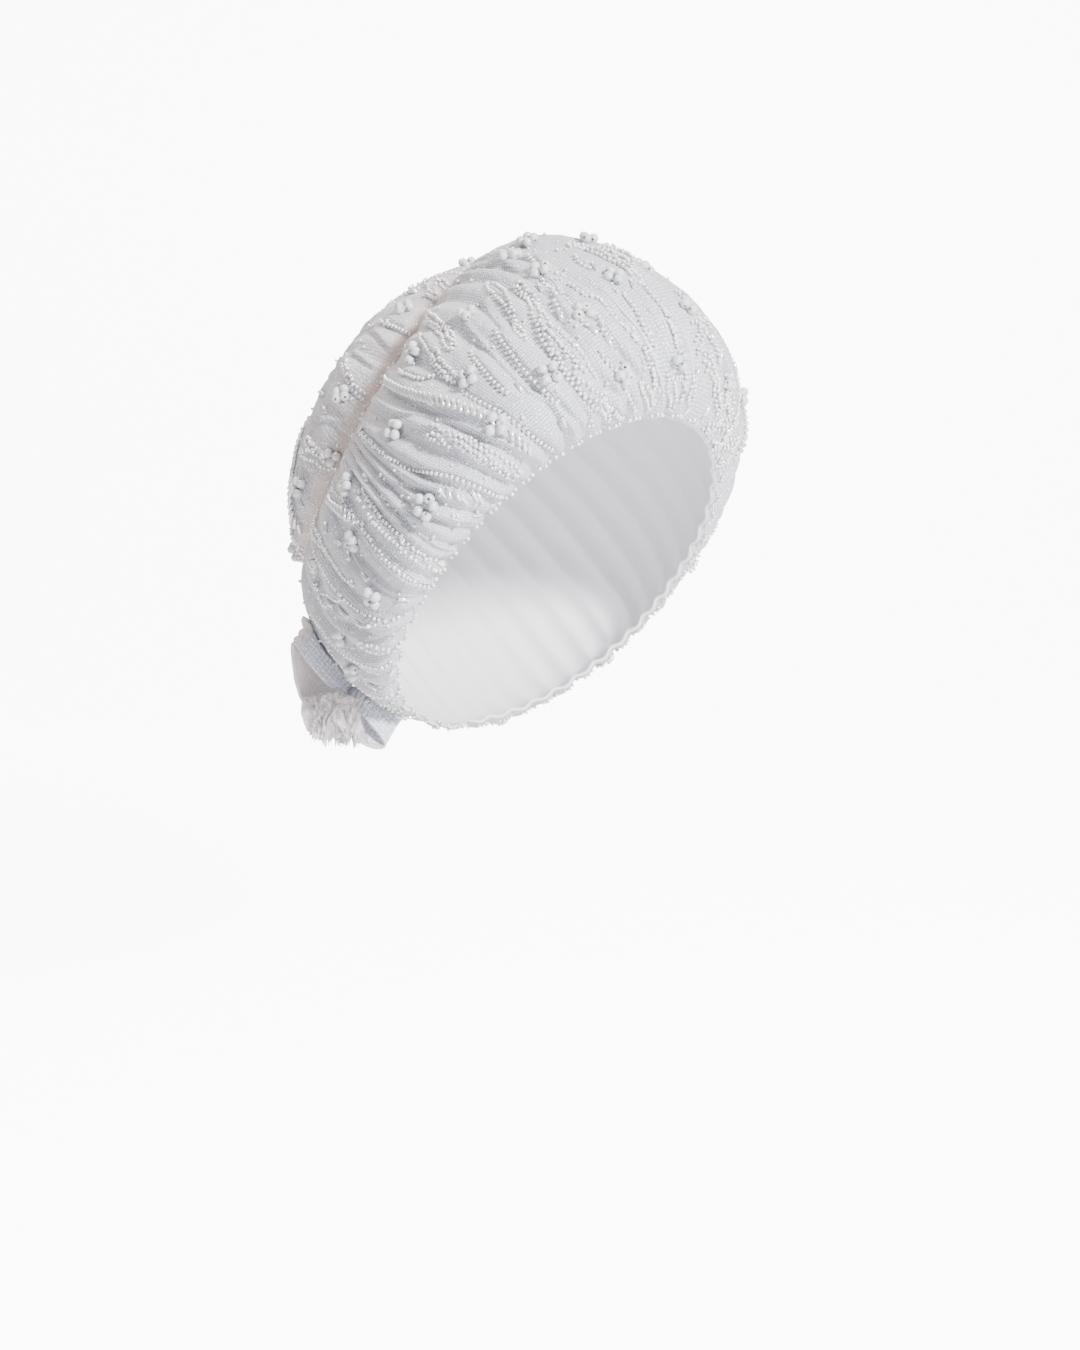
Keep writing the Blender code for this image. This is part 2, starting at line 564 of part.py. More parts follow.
def main():
    """Builds the cap."""
    for old in list(bpy.data.objects):
        bpy.data.objects.remove(old)
    cloth = plain_material("beaded_cloth", CLOTH_WHITE, 0.7)
    ribbon = plain_material("bow_cloth", RIBBON_WHITE, 0.5)
    pearl = plain_material("pearl", PEARL_WHITE, 0.25)
    worn = new_empty("worn_tilt", turn=(-math.radians(OPENING_TIP_BACK), -math.radians(OPENING_ROLL), 0.0))
    bow_place = new_empty("bow_place", place=BOW_PLACE)
    new_object("band", band_shell(), cloth, worn)
    new_object("tip", tip_shell(), cloth, worn)

    covers = {
        "band": cloth_cover(band_form, band_grid(BAND_LEVELS, COLUMNS_PER_PLEAT)),
        "tip": cloth_cover(tip_form, tip_grid(TIP_LEVELS, COLUMNS_PER_PLEAT)),
    }
    crests = cloth_cover(band_form, band_grid(BAND_LEVELS, 1))
    new_object("bow_loop_upper", loop_shell(UPPER_LOOP, crests), ribbon, bow_place)
    new_object("bow_loop_lower", loop_shell(LOWER_LOOP, crests), ribbon, bow_place)
    new_object("bow_knot", knot_shell(crests), ribbon, bow_place)
    new_object("bow_tuft", tuft_shell(), ribbon, bow_place)

    meshes = {beads: cluster_mesh(beads, pearl) for beads in sorted({row.beads for row in CLUSTERS})}
    for number, cluster in enumerate(CLUSTERS, start=1):
        place_cluster(f"pearl_cluster_{number:02d}", cluster, meshes, covers, worn)


main()
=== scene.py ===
"""Dresses a ruched and beaded cap with a small bow, and lights it for a picture.

The cap's forms are those of its solids: a band and a tip that swell round a head opening, drawn upright in
the opening's own frame and tilted as worn. Rows of beads follow the pleats. The rows that show are placed
where the camera sees them, and the rest run on round the cap in the same manner.
"""
import logging
import math
from dataclasses import dataclass, field
from enum import Enum
from typing import NamedTuple, Optional, Sequence

import bpy
import numpy as np
from mathutils import Matrix, Vector, noise
from mathutils.bvhtree import BVHTree


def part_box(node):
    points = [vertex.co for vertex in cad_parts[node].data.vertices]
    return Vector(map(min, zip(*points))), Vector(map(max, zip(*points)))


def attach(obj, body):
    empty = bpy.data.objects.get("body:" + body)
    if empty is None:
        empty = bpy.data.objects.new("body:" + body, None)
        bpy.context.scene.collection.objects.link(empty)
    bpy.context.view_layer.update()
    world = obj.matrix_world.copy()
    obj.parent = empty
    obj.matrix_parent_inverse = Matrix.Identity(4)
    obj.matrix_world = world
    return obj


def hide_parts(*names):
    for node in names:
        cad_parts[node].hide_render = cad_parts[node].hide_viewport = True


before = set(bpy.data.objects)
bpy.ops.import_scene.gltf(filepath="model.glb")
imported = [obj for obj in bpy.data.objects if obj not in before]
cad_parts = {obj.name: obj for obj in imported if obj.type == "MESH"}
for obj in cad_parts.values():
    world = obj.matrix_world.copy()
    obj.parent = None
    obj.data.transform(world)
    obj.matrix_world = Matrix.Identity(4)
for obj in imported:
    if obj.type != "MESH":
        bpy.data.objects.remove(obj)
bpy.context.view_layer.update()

MM = 0.001
SEED = 41
LOG = logging.getLogger("cap")
Pixel = tuple[float, float]
Span = tuple[float, float]
Colour = tuple[float, float, float]
Array = np.ndarray
Socket = bpy.types.NodeSocket


@dataclass(frozen=True)
class PhotoCamera:
    """The camera at the photograph's viewing angle; pixels are those of the 1080 by 1350 picture."""

    place: tuple[float, float, float] = (-0.0105, -0.7100, 0.0894)
    pitch_deg: float = 10.7
    lens_mm: float = 40.0
    sensor_mm: float = 36.0
    picture: tuple[int, int] = (1080, 1350)

    def make(self) -> None:
        """Adds the camera to the scene."""
        data = bpy.data.cameras.new("photo_camera")
        data.lens = self.lens_mm
        data.sensor_width = self.sensor_mm
        data.clip_start = 0.01
        camera = bpy.data.objects.new("photo_camera", data)
        camera.location = self.place
        camera.rotation_euler = (math.radians(90 - self.pitch_deg), 0.0, 0.0)
        bpy.context.collection.objects.link(camera)
        bpy.context.scene.camera = camera

    def ray(self, pixel: Pixel) -> Vector:
        """The direction of sight through a pixel.

        Args:
            pixel: Column and row in the picture.

        Returns:
            A unit vector in the row frame.
        """
        wide, high = self.picture
        scale = self.lens_mm / self.sensor_mm * max(wide, high)
        right, up = (pixel[0] - wide / 2) / scale, (high / 2 - pixel[1]) / scale
        sin, cos = math.sin(math.radians(self.pitch_deg)), math.cos(math.radians(self.pitch_deg))
        return Vector((right, cos + up * sin, -sin + up * cos)).normalized()


def lean_axes(roll: float, tip_back: float, turn: float = 0.0) -> Array:
    """Axes of a frame rolled to the wearer's right, tipped back and turned about its own z.

    Args:
        roll: Roll in degrees.
        tip_back: Tip in degrees.
        turn: Turn in degrees.

    Returns:
        The three axes as rows.
    """
    r, t, s = (math.radians(angle) for angle in (roll, tip_back, turn))
    x = np.array([math.cos(r), 0.0, math.sin(r)])
    z = np.array([-math.sin(r) * math.cos(t), math.sin(t), math.cos(r) * math.cos(t)])
    y = np.cross(z, x)
    return np.stack([math.cos(s) * x + math.sin(s) * y, -math.sin(s) * x + math.cos(s) * y, z])


def unit(vectors: Array) -> Array:
    """The vectors, each at length one."""
    return vectors / np.maximum(np.linalg.norm(vectors, axis=-1, keepdims=True), 1e-12)


def cubic(p0: Array, p1: Array, p2: Array, p3: Array, share: Array) -> Array:
    """Points on a cubic curve between p0 and p3, at each share."""
    s = share[..., None]
    return (1 - s) ** 3 * p0 + 3 * (1 - s) ** 2 * s * p1 + 3 * (1 - s) * s ** 2 * p2 + s ** 3 * p3


@dataclass(frozen=True)
class Swell:
    """How far a puff swells round the cap, in mm: its mean and its waves."""

    mean: float
    cos: float = 0.0
    sin: float = 0.0
    cos2: float = 0.0
    sin2: float = 0.0
    cos3: float = 0.0

    def at(self, a: Array) -> Array:
        """The swell in metres at each angle, with a last axis of one."""
        total = (self.mean + self.cos * np.cos(a) + self.sin * np.sin(a) + self.cos2 * np.cos(2 * a)
                 + self.sin2 * np.sin(2 * a) + self.cos3 * np.cos(3 * a))
        return total[..., None] * MM


@dataclass(frozen=True)
class CapForm:
    """The smooth form of the cap, as in its solids: band, seam and tip."""

    half_wide: float = 89 * MM
    half_deep: float = 97.5 * MM
    oval: tuple[float, float] = (0.064, -0.04)
    saddle: float = 1.4 * MM
    seam_half_wide: float = 90 * MM
    seam_half_deep: float = 74 * MM
    groove_deep: float = 4 * MM
    groove_share: float = 0.08
    groove_power: float = 1.4
    slant: float = 0.7
    hem_out: Swell = Swell(43.2, 22.5, 4.4, -3.8, -1.0)
    hem_up: Swell = Swell(-4.1, 3.0, 13.1)
    crest_out: Swell = Swell(38.4, 11.8, -1.1, 0.0, 1.0)
    crest_down: Swell = Swell(26.1, 1.9, 14.4, -7.7, 0.4, 5.8)
    tip_out: Swell = Swell(-10.2, -4.6)
    tip_up: Swell = Swell(17.0, -4.0, 1.7, 0.0, -1.0)
    pole_flat: float = 41 * MM
    dent_deep: float = 6 * MM
    dent_angle: float = 172.0
    dent_reach: float = 15.0
    worn_lean: tuple[float, float] = (43.2, 34.4)
    crown_lean: tuple[float, float, float] = (16.7, -21.1, -6.2)
    seam_middle_mm: tuple[float, float, float] = (-5.7, -18.5, 119.2)
    pole_off_mm: tuple[float, float, float] = (5.5, -12.8, 36.3)

    @property
    def worn(self) -> Array:
        """Axes of the head opening as worn, as rows."""
        return lean_axes(*self.worn_lean)

    @property
    def crown(self) -> Array:
        """Axes of the crown in the opening's frame, as rows."""
        return lean_axes(*self.crown_lean)

    @property
    def seam_centre(self) -> Array:
        """Middle of the seam between band and tip."""
        return np.array(self.seam_middle_mm) * MM

    @property
    def pole(self) -> Array:
        """Top of the tip."""
        return self.seam_centre + np.array(self.pole_off_mm) * MM @ self.crown

    def rim(self, a: Array) -> Array:
        """Points of the edge of the head opening."""
        grow = 1 + self.oval[0] * np.cos(2 * a) + self.oval[1] * np.sin(2 * a)
        return np.stack([grow * self.half_wide * np.cos(a), grow * self.half_deep * np.sin(a),
                         self.saddle * np.cos(2 * a)], axis=-1)

    def crown_out(self, a: Array) -> Array:
        """Directions that point away from the crown's middle."""
        return np.cos(a)[..., None] * self.crown[0] + np.sin(a)[..., None] * self.crown[1]

    def seam(self, a: Array) -> Array:
        """Points of the seam, before its groove."""
        return (self.seam_centre + np.cos(a)[..., None] * self.crown[0] * self.seam_half_wide
                + np.sin(a)[..., None] * self.crown[1] * self.seam_half_deep)

    def groove(self, from_seam: Array, out: Array) -> Array:
        """The dip that the seam pulls into the cloth beside it."""
        share = np.clip(from_seam, 0, 1) / self.groove_share
        deep = self.groove_deep * np.exp(-share ** self.groove_power)
        return deep[..., None] * self.slant * (out + self.crown[2])

    def band(self, a: Array, up: Array) -> Array:
        """The band at angle a and share up, from the opening to the seam, in the opening's frame."""
        out = np.stack([np.cos(a), np.sin(a), 0 * a], axis=-1)
        crown_out, rim, seam = self.crown_out(a), self.rim(a), self.seam(a)
        hem = rim + self.hem_out.at(a) * out + self.hem_up.at(a) * np.array([0.0, 0.0, 1.0])
        crest = seam + self.crest_out.at(a) * crown_out - self.crest_down.at(a) * self.crown[2]
        form = cubic(rim, hem, crest, seam, up) - self.groove(1 - up, crown_out)
        off = (np.degrees(a) % 360 - self.dent_angle) / self.dent_reach
        dent = self.dent_deep * np.exp(-off ** 2) * np.sin(np.pi * np.clip(up, 0, 1)) ** 0.5
        return form - dent[..., None] * out

    def tip(self, a: Array, up: Array) -> Array:
        """The tip at angle a and share up, from the seam to the pole, in the opening's frame."""
        crown_out, seam = self.crown_out(a), self.seam(a)
        edge = seam + self.tip_out.at(a) * crown_out + self.tip_up.at(a) * self.crown[2]
        return cubic(seam, edge, self.pole + self.pole_flat * crown_out, self.pole + 0 * seam, up) \
            - self.groove(up, crown_out)


FORM = CapForm()


class RowKind(Enum):
    """What is sewn along a row."""

    SINGLE = "one line of seed beads on a tuck"
    DOUBLE = "two lines of seed beads"
    WIDE = "a band of seed beads"
    ROPE = "bugles laid aslant like a rope"
    FOLD = "a narrow fold of the cloth"
    CORD = "a thin satin cord"
    TUCK = "a bare tuck"
    EDGE = "a few seed beads where a pleat turns in"


@dataclass(frozen=True)
class RowStyle:
    """How a kind of row lifts the cloth and how its beads lie, in mm."""

    lines: int
    ridge: float
    gentle: float
    steep: float
    spread: float = 0.0
    wander: float = 0.0
    shift: float = 0.0


STYLES = {
    RowKind.SINGLE: RowStyle(1, 1.7, 4.4, 1.2, 0.0, 0.15, 0.7),
    RowKind.DOUBLE: RowStyle(2, 1.4, 4.2, 2.2, 2.1, 0.45, 0.4),
    RowKind.WIDE: RowStyle(3, 1.1, 3.8, 3.0, 2.1, 0.6),
    RowKind.ROPE: RowStyle(0, 0.9, 3.2, 2.4),
    RowKind.FOLD: RowStyle(0, 1.5, 1.5, 1.1),
    RowKind.CORD: RowStyle(0, 0.7, 2.0, 1.0),
    RowKind.TUCK: RowStyle(0, 1.45, 4.6, 1.2),
    RowKind.EDGE: RowStyle(1, 0.1, 2.0, 2.0),
}


class Pleat(NamedTuple):
    """A crest line of the band: its angles at the opening and the seam, and its height in mm."""

    rim_deg: float
    seam_deg: float
    high: float


class PhotoRow(NamedTuple):
    """A row that shows: its kind and the pixels that it passes."""

    kind: RowKind
    pixels: tuple[Pixel, ...]


S, D, W, R, F, C, T = (RowKind.SINGLE, RowKind.DOUBLE, RowKind.WIDE, RowKind.ROPE, RowKind.FOLD, RowKind.CORD,
                       RowKind.TUCK)

BAND_ROWS = tuple(PhotoRow(*row) for row in (
    (S, ((360, 418), (363, 430), (377, 445), (391, 455), (411, 466), (440, 470), (464, 476), (488, 486),
         (503, 494))),
    (W, ((431, 431), (443, 438), (457, 440), (472, 446), (484, 453), (500, 464), (517, 476))),
    (R, ((388, 380), (400, 387), (418, 394), (440, 400), (462, 408), (480, 415), (500, 428), (530, 450))),
    (F, ((375, 398), (395, 411), (420, 415), (440, 419), (465, 427), (500, 441), (530, 456))),
    (W, ((434, 352), (441, 366), (449, 375), (458, 382))),
    (S, ((463, 387), (476, 395), (485, 400), (500, 408), (512, 416), (524, 425), (540, 437), (555, 448))),
    (W, ((428, 318), (438, 325), (448, 336), (454, 350))),
    (S, ((402, 370), (411, 372), (422, 376), (437, 376))),
    (S, ((423, 334), (431, 347), (437, 358))),
    (F, ((462, 322), (474, 334), (488, 350), (510, 373), (530, 392), (548, 402), (562, 416), (574, 438))),
    (D, ((490, 286), (500, 294), (508, 301), (513, 311), (518, 322), (519, 330), (524, 342))),
    (F, ((526, 346), (533, 356), (545, 366), (560, 379), (580, 401), (594, 424))),
    (W, ((518, 285), (526, 295), (534, 304), (538, 315), (545, 331), (551, 344), (560, 357), (571, 375),
         (583, 389), (597, 400), (612, 420))),
    (S, ((530, 255), (540, 264), (552, 272), (563, 277))),
    (C, ((545, 276), (556, 286), (566, 296))),
    (S, ((571, 284), (586, 293), (602, 301), (611, 312), (622, 324), (637, 338), (650, 352))),
    (C, ((598, 288), (620, 308), (640, 335), (653, 357), (660, 380), (662, 402))),
    (D, ((567, 247), (580, 249), (597, 254), (612, 261), (626, 268), (640, 281))),
    (S, ((640, 281), (649, 291), (658, 301), (667, 313), (674, 330), (678, 346))),
    (D, ((600, 248), (613, 253), (625, 258), (632, 264))),
    (S, ((616, 292), (626, 297), (636, 308), (644, 322), (649, 335), (656, 346))),
    (D, ((676, 291), (684, 298), (693, 307))),
    (C, ((660, 301), (670, 312), (680, 328), (688, 346), (692, 371), (692, 402))),
    (C, ((655, 310), (664, 327), (668, 345))),
    (D, ((695, 314), (700, 325), (699, 340), (700, 354))),
    (S, ((705, 320), (709, 333), (716, 347), (720, 364))),
    (W, ((706, 350), (708, 366), (714, 382), (717, 396), (719, 412))),
    (D, ((666, 372), (669, 385), (671, 398), (669, 409))),
    (S, ((655, 368), (657, 381))),
    (D, ((640, 380), (646, 392), (652, 406))),
    (D, ((688, 374), (690, 388), (688, 403))),
    (W, ((722, 380), (728, 400), (731, 418))),
    (W, ((706, 428), (722, 424), (736, 418))),
    (W, ((712, 446), (725, 443), (739, 438))),
    (D, ((716, 462), (728, 460), (739, 457))),
    (W, ((715, 482), (726, 482), (735, 480))),
    (D, ((712, 502), (722, 503), (730, 502))),
    (D, ((361, 490), (371, 506), (384, 524), (399, 538), (415, 552), (430, 560), (441, 566))),
    (S, ((335, 487), (346, 497), (360, 518), (375, 539), (391, 558), (410, 573), (433, 580))),
    (D, ((313, 510), (319, 516), (317, 528), (324, 542), (334, 557), (345, 572), (356, 583))),
    (S, ((305, 542), (316, 551), (322, 560), (333, 578), (346, 593), (365, 608), (382, 615), (399, 615))),
    (S, ((320, 583), (326, 590), (337, 596), (346, 598))),
    (S, ((321, 596), (328, 602), (335, 606))),
    (S, ((313, 612), (324, 626), (333, 640), (347, 651), (362, 659), (379, 663), (391, 657))),
    (D, ((359, 640), (369, 645), (380, 648), (394, 645), (402, 638))),
    (S, ((331, 648), (338, 657), (346, 669), (352, 677), (364, 688), (380, 693), (394, 690))),
    (S, ((370, 693), (377, 698), (388, 699), (396, 691))),
    (R, ((329, 499), (337, 505), (345, 513), (356, 522))),
    (R, ((442, 489), (455, 496), (470, 497), (483, 500))),
    (S, ((597, 315), (603, 322), (607, 332), (617, 340))),
    (S, ((621, 325), (627, 331), (634, 336), (637, 342))),
    (S, ((639, 357), (641, 366), (641, 374))),
    (S, ((645, 346), (649, 356), (654, 366), (657, 380), (662, 394))),
    (S, ((666, 312), (669, 320), (673, 326), (677, 336), (678, 347), (683, 358))),
    (D, ((604, 246), (614, 251), (624, 257), (631, 263), (629, 272), (635, 280), (642, 286))),
    (S, ((577, 256), (584, 265), (594, 272))),
    (S, ((690, 322), (699, 327), (706, 333), (712, 343))),
    (S, ((714, 372), (717, 382), (719, 396), (720, 410))),
    (S, ((727, 398), (732, 410), (735, 424))),
    (S, ((604, 392), (608, 400), (616, 407), (623, 416))),
    (S, ((650, 383), (653, 392), (655, 404))),
    (S, ((683, 360), (686, 374), (684, 388), (680, 400))),
    (S, ((537, 268), (545, 280), (552, 292), (560, 304), (566, 318))),
    (S, ((560, 290), (572, 303), (582, 316), (590, 330))),
    (D, ((545, 325), (556, 335), (568, 346), (580, 360), (590, 372))),
    (S, ((600, 350), (612, 362), (622, 378), (630, 394), (636, 408))),
    (S, ((498, 330), (510, 345), (521, 360), (534, 376), (548, 390), (560, 404))),
    (S, ((474, 352), (486, 366), (498, 380), (512, 394))),
    (T, ((362, 440), (378, 463), (392, 478), (410, 484), (440, 488), (480, 500))),
    (T, ((353, 463), (368, 485), (386, 502), (410, 509), (440, 517), (470, 520))),
    (T, ((345, 455), (357, 475), (371, 492), (388, 512), (402, 524))),
    (T, ((402, 508), (413, 524), (428, 538), (450, 548))),
    (F, ((333, 504), (341, 518), (350, 540), (357, 556), (370, 574), (386, 588), (410, 594))),
    (T, ((356, 520), (375, 550), (398, 575), (420, 587))),
    (T, ((372, 578), (394, 592), (418, 592))),
    (T, ((327, 604), (345, 617), (365, 624), (388, 626), (403, 618))),
    (T, ((322, 612), (340, 628), (365, 638), (396, 630))),
    (T, ((344, 650), (362, 666), (385, 670), (396, 660))),
    (T, ((405, 420), (440, 432), (462, 452), (500, 478))),
    (T, ((480, 300), (500, 325), (522, 352), (545, 380), (566, 404), (585, 430))),
    (T, ((560, 318), (580, 345), (602, 375), (626, 408))),
    (T, ((575, 300), (600, 325), (624, 352), (643, 378), (650, 400))),
    (T, ((640, 298), (660, 330), (672, 362), (678, 400))),
    (T, ((500, 262), (530, 280), (556, 300), (574, 326))),
))

TIP_ROWS = tuple(PhotoRow(*row) for row in (
    (S, ((383, 321), (395, 324), (406, 329), (413, 334))),
    (D, ((346, 362), (351, 375), (357, 387), (367, 397))),
    (D, ((309, 437), (313, 446), (322, 449), (332, 456))),
    (D, ((303, 450), (312, 455), (322, 460), (334, 468))),
    (F, ((314, 413), (330, 420), (350, 431))),
    (F, ((331, 396), (340, 407), (352, 413))),
    (S, ((303, 432), (308, 441))),
    (S, ((289, 512), (293, 530), (308, 548))),
    (T, ((300, 460), (316, 468), (332, 482))),
    (T, ((294, 480), (308, 492), (324, 500))),
    (S, ((425, 284), (432, 290), (441, 296))),
    (D, ((441, 280), (446, 286), (450, 294))),
    (T, ((370, 330), (385, 342), (400, 352))),
    (F, ((353, 352), (368, 362), (384, 372))),
))

BUGLES_SHOWN: tuple[Pixel, ...] = (
    (432, 400), (461, 405), (520, 387), (566, 419), (368, 480), (476, 514), (449, 547), (365, 577),
    (404, 597), (542, 288), (561, 314), (592, 331), (574, 348), (608, 343), (624, 366), (594, 269),
    (632, 285), (676, 387), (682, 385), (641, 388), (650, 394), (685, 412), (719, 358), (724, 403),
    (705, 410), (725, 433), (696, 375), (711, 338), (379, 346), (385, 362), (316, 467), (327, 528),
    (339, 543), (349, 556), (316, 586), (343, 611), (349, 614), (361, 621), (370, 624), (397, 662),
    (392, 671), (374, 686),
)


class Cluster(NamedTuple):
    """A cluster of pearls: its cloth, its place, its beads and, for some, its CAD node."""

    on: str
    around_deg: float
    up: float
    beads: int
    turn_deg: float
    node: str = ""


NODE_CLUSTERS = tuple(
    Cluster(*place, node=f"pearl_cluster_{number:02d}") for number, place in enumerate((
        ("band", 318, 0.73, 5, 10), ("band", 316, 0.60, 4, 40), ("band", 298, 0.66, 3, 15),
        ("band", 314, 0.41, 4, 70), ("band", 285, 0.78, 4, 30), ("band", 288, 0.50, 4, 20),
        ("band", 300, 0.31, 4, 55), ("band", 270, 0.65, 4, 65), ("band", 286, 0.31, 4, 10),
        ("band", 264, 0.34, 5, 0), ("band", 244, 0.59, 4, 25), ("tip", 304, 0.23, 4, 45),
    ), 1))
MORE_CLUSTERS = tuple(Cluster(*place) for place in (
    ("band", 328, 0.76, 4, 0), ("band", 338, 0.65, 3, 30), ("band", 328, 0.48, 4, 50),
    ("band", 344, 0.52, 4, 15), ("band", 342, 0.35, 4, 60), ("band", 315, 0.18, 4, 35),
    ("band", 332, 0.18, 3, 0), ("band", 352, 0.16, 3, 75), ("band", 252, 0.75, 4, 5),
    ("band", 226, 0.75, 3, 40), ("band", 237, 0.36, 4, 20), ("band", 216, 0.47, 3, 50),
    ("band", 206, 0.36, 3, 35),
    ("tip", 266, 0.24, 4, 10), ("tip", 249, 0.05, 3, 60), ("tip", 230, 0.21, 4, 30),
))
HIDDEN_CLUSTERS_BAND = 20
HIDDEN_CLUSTERS_TIP = 9
SINGLE_SEEDS = {"band": 440, "tip": 50}
HIDDEN_BUGLES_BAND = 60
HIDDEN_BUGLES_TIP = 24
HIDDEN_PLEATS = (25, 47.5)


class Shape:
    """Points and faces gathered for one mesh."""

    def __init__(self) -> None:
        """Starts with nothing."""
        self.points: list[Array] = []
        self.faces: list[tuple[int, ...]] = []
        self.count = 0

    def add(self, points: Array, faces: Sequence[Sequence[int]]) -> None:
        """Adds points and the faces between them."""
        offset = self.count
        self.points.append(np.asarray(points).reshape(-1, 3))
        self.faces.extend(tuple(int(i) + offset for i in face) for face in faces)
        self.count += len(self.points[-1])

    def scatter(self, points: Array, faces: Sequence[Sequence[int]], places: Array,
                axes: Array) -> None:
        """Adds a copy of a small shape at each place.

        Args:
            points: The small shape's points, n by 3.
            faces: Its faces.
            places: Centres, m by 3.
            axes: The rows that its x, y and z are turned and scaled to, m by 3 by 3.
        """
        copies = np.einsum("nk,mkj->mnj", points, axes) + places[:, None, :]
        offset, size = self.count, len(points)
        self.points.append(copies.reshape(-1, 3))
        for copy in range(len(places)):
            start = offset + copy * size
            self.faces.extend(tuple(start + i for i in face) for face in faces)
        self.count += len(places) * size

    def mesh(self, name: str, material: bpy.types.Material, weave: Optional[Array] = None,
             tint: Optional[Array] = None) -> bpy.types.Object:
        """Makes a smooth-shaded object that rides on the cap.

        Args:
            name: The object's name.
            material: Its material.
            weave: Coordinates along the cloth in metres, one for each point.
            tint: How far each point is tinted, from 0 to 1.

        Returns:
            The object.
        """
        mesh = bpy.data.meshes.new(name)
        mesh.from_pydata(np.concatenate(self.points).tolist(), [], self.faces)
        mesh.shade_smooth()
        mesh.materials.append(material)
        if weave is not None:
            mesh.attributes.new("weave", "FLOAT_VECTOR", "POINT").data.foreach_set("vector", weave.ravel())
        if tint is not None:
            mesh.attributes.new("tint", "FLOAT", "POINT").data.foreach_set("value", tint.ravel())
        item = bpy.data.objects.new(name, mesh)
        bpy.context.collection.objects.link(item)
        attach(item, "root")
        LOG.info("%s: %d faces", name, len(mesh.polygons))
        return item


def grid_faces(index: Array, closed: bool = True) -> list[tuple[int, int, int, int]]:
    """Quads of a grid of point numbers.

    Args:
        index: Point numbers, columns by levels.
        closed: Whether the last column joins the first.

    Returns:
        The quads, facing out where columns run counter-clockwise and levels run up.
    """
    other = np.roll(index, -1, axis=0)
    if not closed:
        index, other = index[:-1], other[:-1]
    quads = np.stack([index[:, :-1], other[:, :-1], other[:, 1:], index[:, 1:]], axis=-1)
    return quads.reshape(-1, 4).tolist()


def fan(ring: Array, hub: int) -> list[tuple[int, int, int]]:
    """Triangles from a closed ring of point numbers to one more point."""
    return [(int(a), int(b), hub) for a, b in zip(ring, np.roll(ring, -1))]


def lathe(profile: Sequence[tuple[float, float]], sides: int) -> tuple[Array, list]:
    """A closed shape turned round x from a profile of (along, radius) that starts and ends on the axis.

    Args:
        profile: The profile's points.
        sides: Sides round the axis.

    Returns:
        Its points and faces.
    """
    turn = 2 * np.pi * np.arange(sides) / sides
    inner = np.array(profile[1:-1])
    points = np.stack([np.broadcast_to(inner[:, 0], (sides, len(inner))),
                       inner[:, 1] * np.cos(turn)[:, None], inner[:, 1] * np.sin(turn)[:, None]], axis=-1)
    index = np.arange(sides * len(inner)).reshape(sides, len(inner))
    ends = [(profile[0][0], 0.0, 0.0), (profile[-1][0], 0.0, 0.0)]
    points = np.concatenate([points.reshape(-1, 3), ends])
    low, high = len(points) - 2, len(points) - 1
    return points, grid_faces(index) + fan(index[::-1, 0], low) + fan(index[:, -1], high)


def arc(lifts: Sequence[float]) -> list[tuple[float, float]]:
    """Points of a profile on a circle of radius one, at angles in radians off its middle."""
    return [(math.sin(lift), math.cos(lift)) for lift in lifts]


def seed_shape() -> tuple[Array, list]:
    """A seed bead of radius one whose hole runs along x."""
    return lathe([(-1.0, 0.0), *arc(np.radians((-52, 0, 52))), (1.0, 0.0)], 8)


def between(p0: Array, p1: Array, p2: Array, p3: Array, t: Array) -> Array:
    """Points at shares t of a smooth line from p1 to p2 that comes from p0 and goes on to p3."""
    return 0.5 * (2 * p1 + (p2 - p0) * t + (2 * p0 - 5 * p1 + 4 * p2 - p3) * t ** 2
                  + (3 * p1 - p0 - 3 * p2 + p3) * t ** 3)


def resample(places: Array, ruler: Array, values: Array) -> Array:
    """Rows of values read off at places along a ruler."""
    return np.stack([np.interp(places, ruler, column) for column in values.T], axis=-1)


def smooth_line(controls: Array, per_step: int = 16) -> Array:
    """Points on a smooth open curve through the controls.

    Args:
        controls: Points that the curve passes, n by k.
        per_step: Points made between each pair.

    Returns:
        The curve's points.
    """
    ends = np.concatenate([[2 * controls[0] - controls[1]], controls, [2 * controls[-1] - controls[-2]]])
    t = np.arange(per_step)[:, None] / per_step
    points = [between(*ends[k:k + 4], t) for k in range(len(controls) - 1)]
    return np.concatenate(points + [controls[-1:]])


def closed_line(controls: Array, count: int) -> Array:
    """Points on a smooth closed curve through the controls, count of them."""
    place = np.arange(count) * len(controls) / count
    k, t = place.astype(int), (place % 1)[:, None]
    return between(*(controls[(k + j) % len(controls)] for j in (-1, 0, 1, 2)), t)


def search_tree(points: Array, closed: bool = True) -> BVHTree:
    """A search tree of a grid of points, columns by levels, with two triangles to a quad."""
    index = np.arange(points[..., 0].size).reshape(points.shape[:2])
    triangles = []
    for a, b, c, d in grid_faces(index, closed):
        triangles += [(a, b, c), (a, c, d)]
    return BVHTree.FromPolygons(points.reshape(-1, 3).tolist(), triangles, all_triangles=True)


@dataclass
class SewnRow:
    """A row on the cloth: evenly spaced points with the cloth's directions there."""

    kind: RowKind
    points: Array
    normals: Array
    along: Array
    length: float

    @property
    def across(self) -> Array:
        """Directions across the row, in the cloth."""
        return np.cross(self.normals, self.along)

    def at(self, distances: Array) -> tuple[Array, Array, Array]:
        """Points, normals and directions at distances along the row."""
        ruler = np.linspace(0, self.length, len(self.points))
        points, normals, along = (resample(distances, ruler, part)
                                  for part in (self.points, self.normals, self.along))
        return points, unit(normals), unit(along)


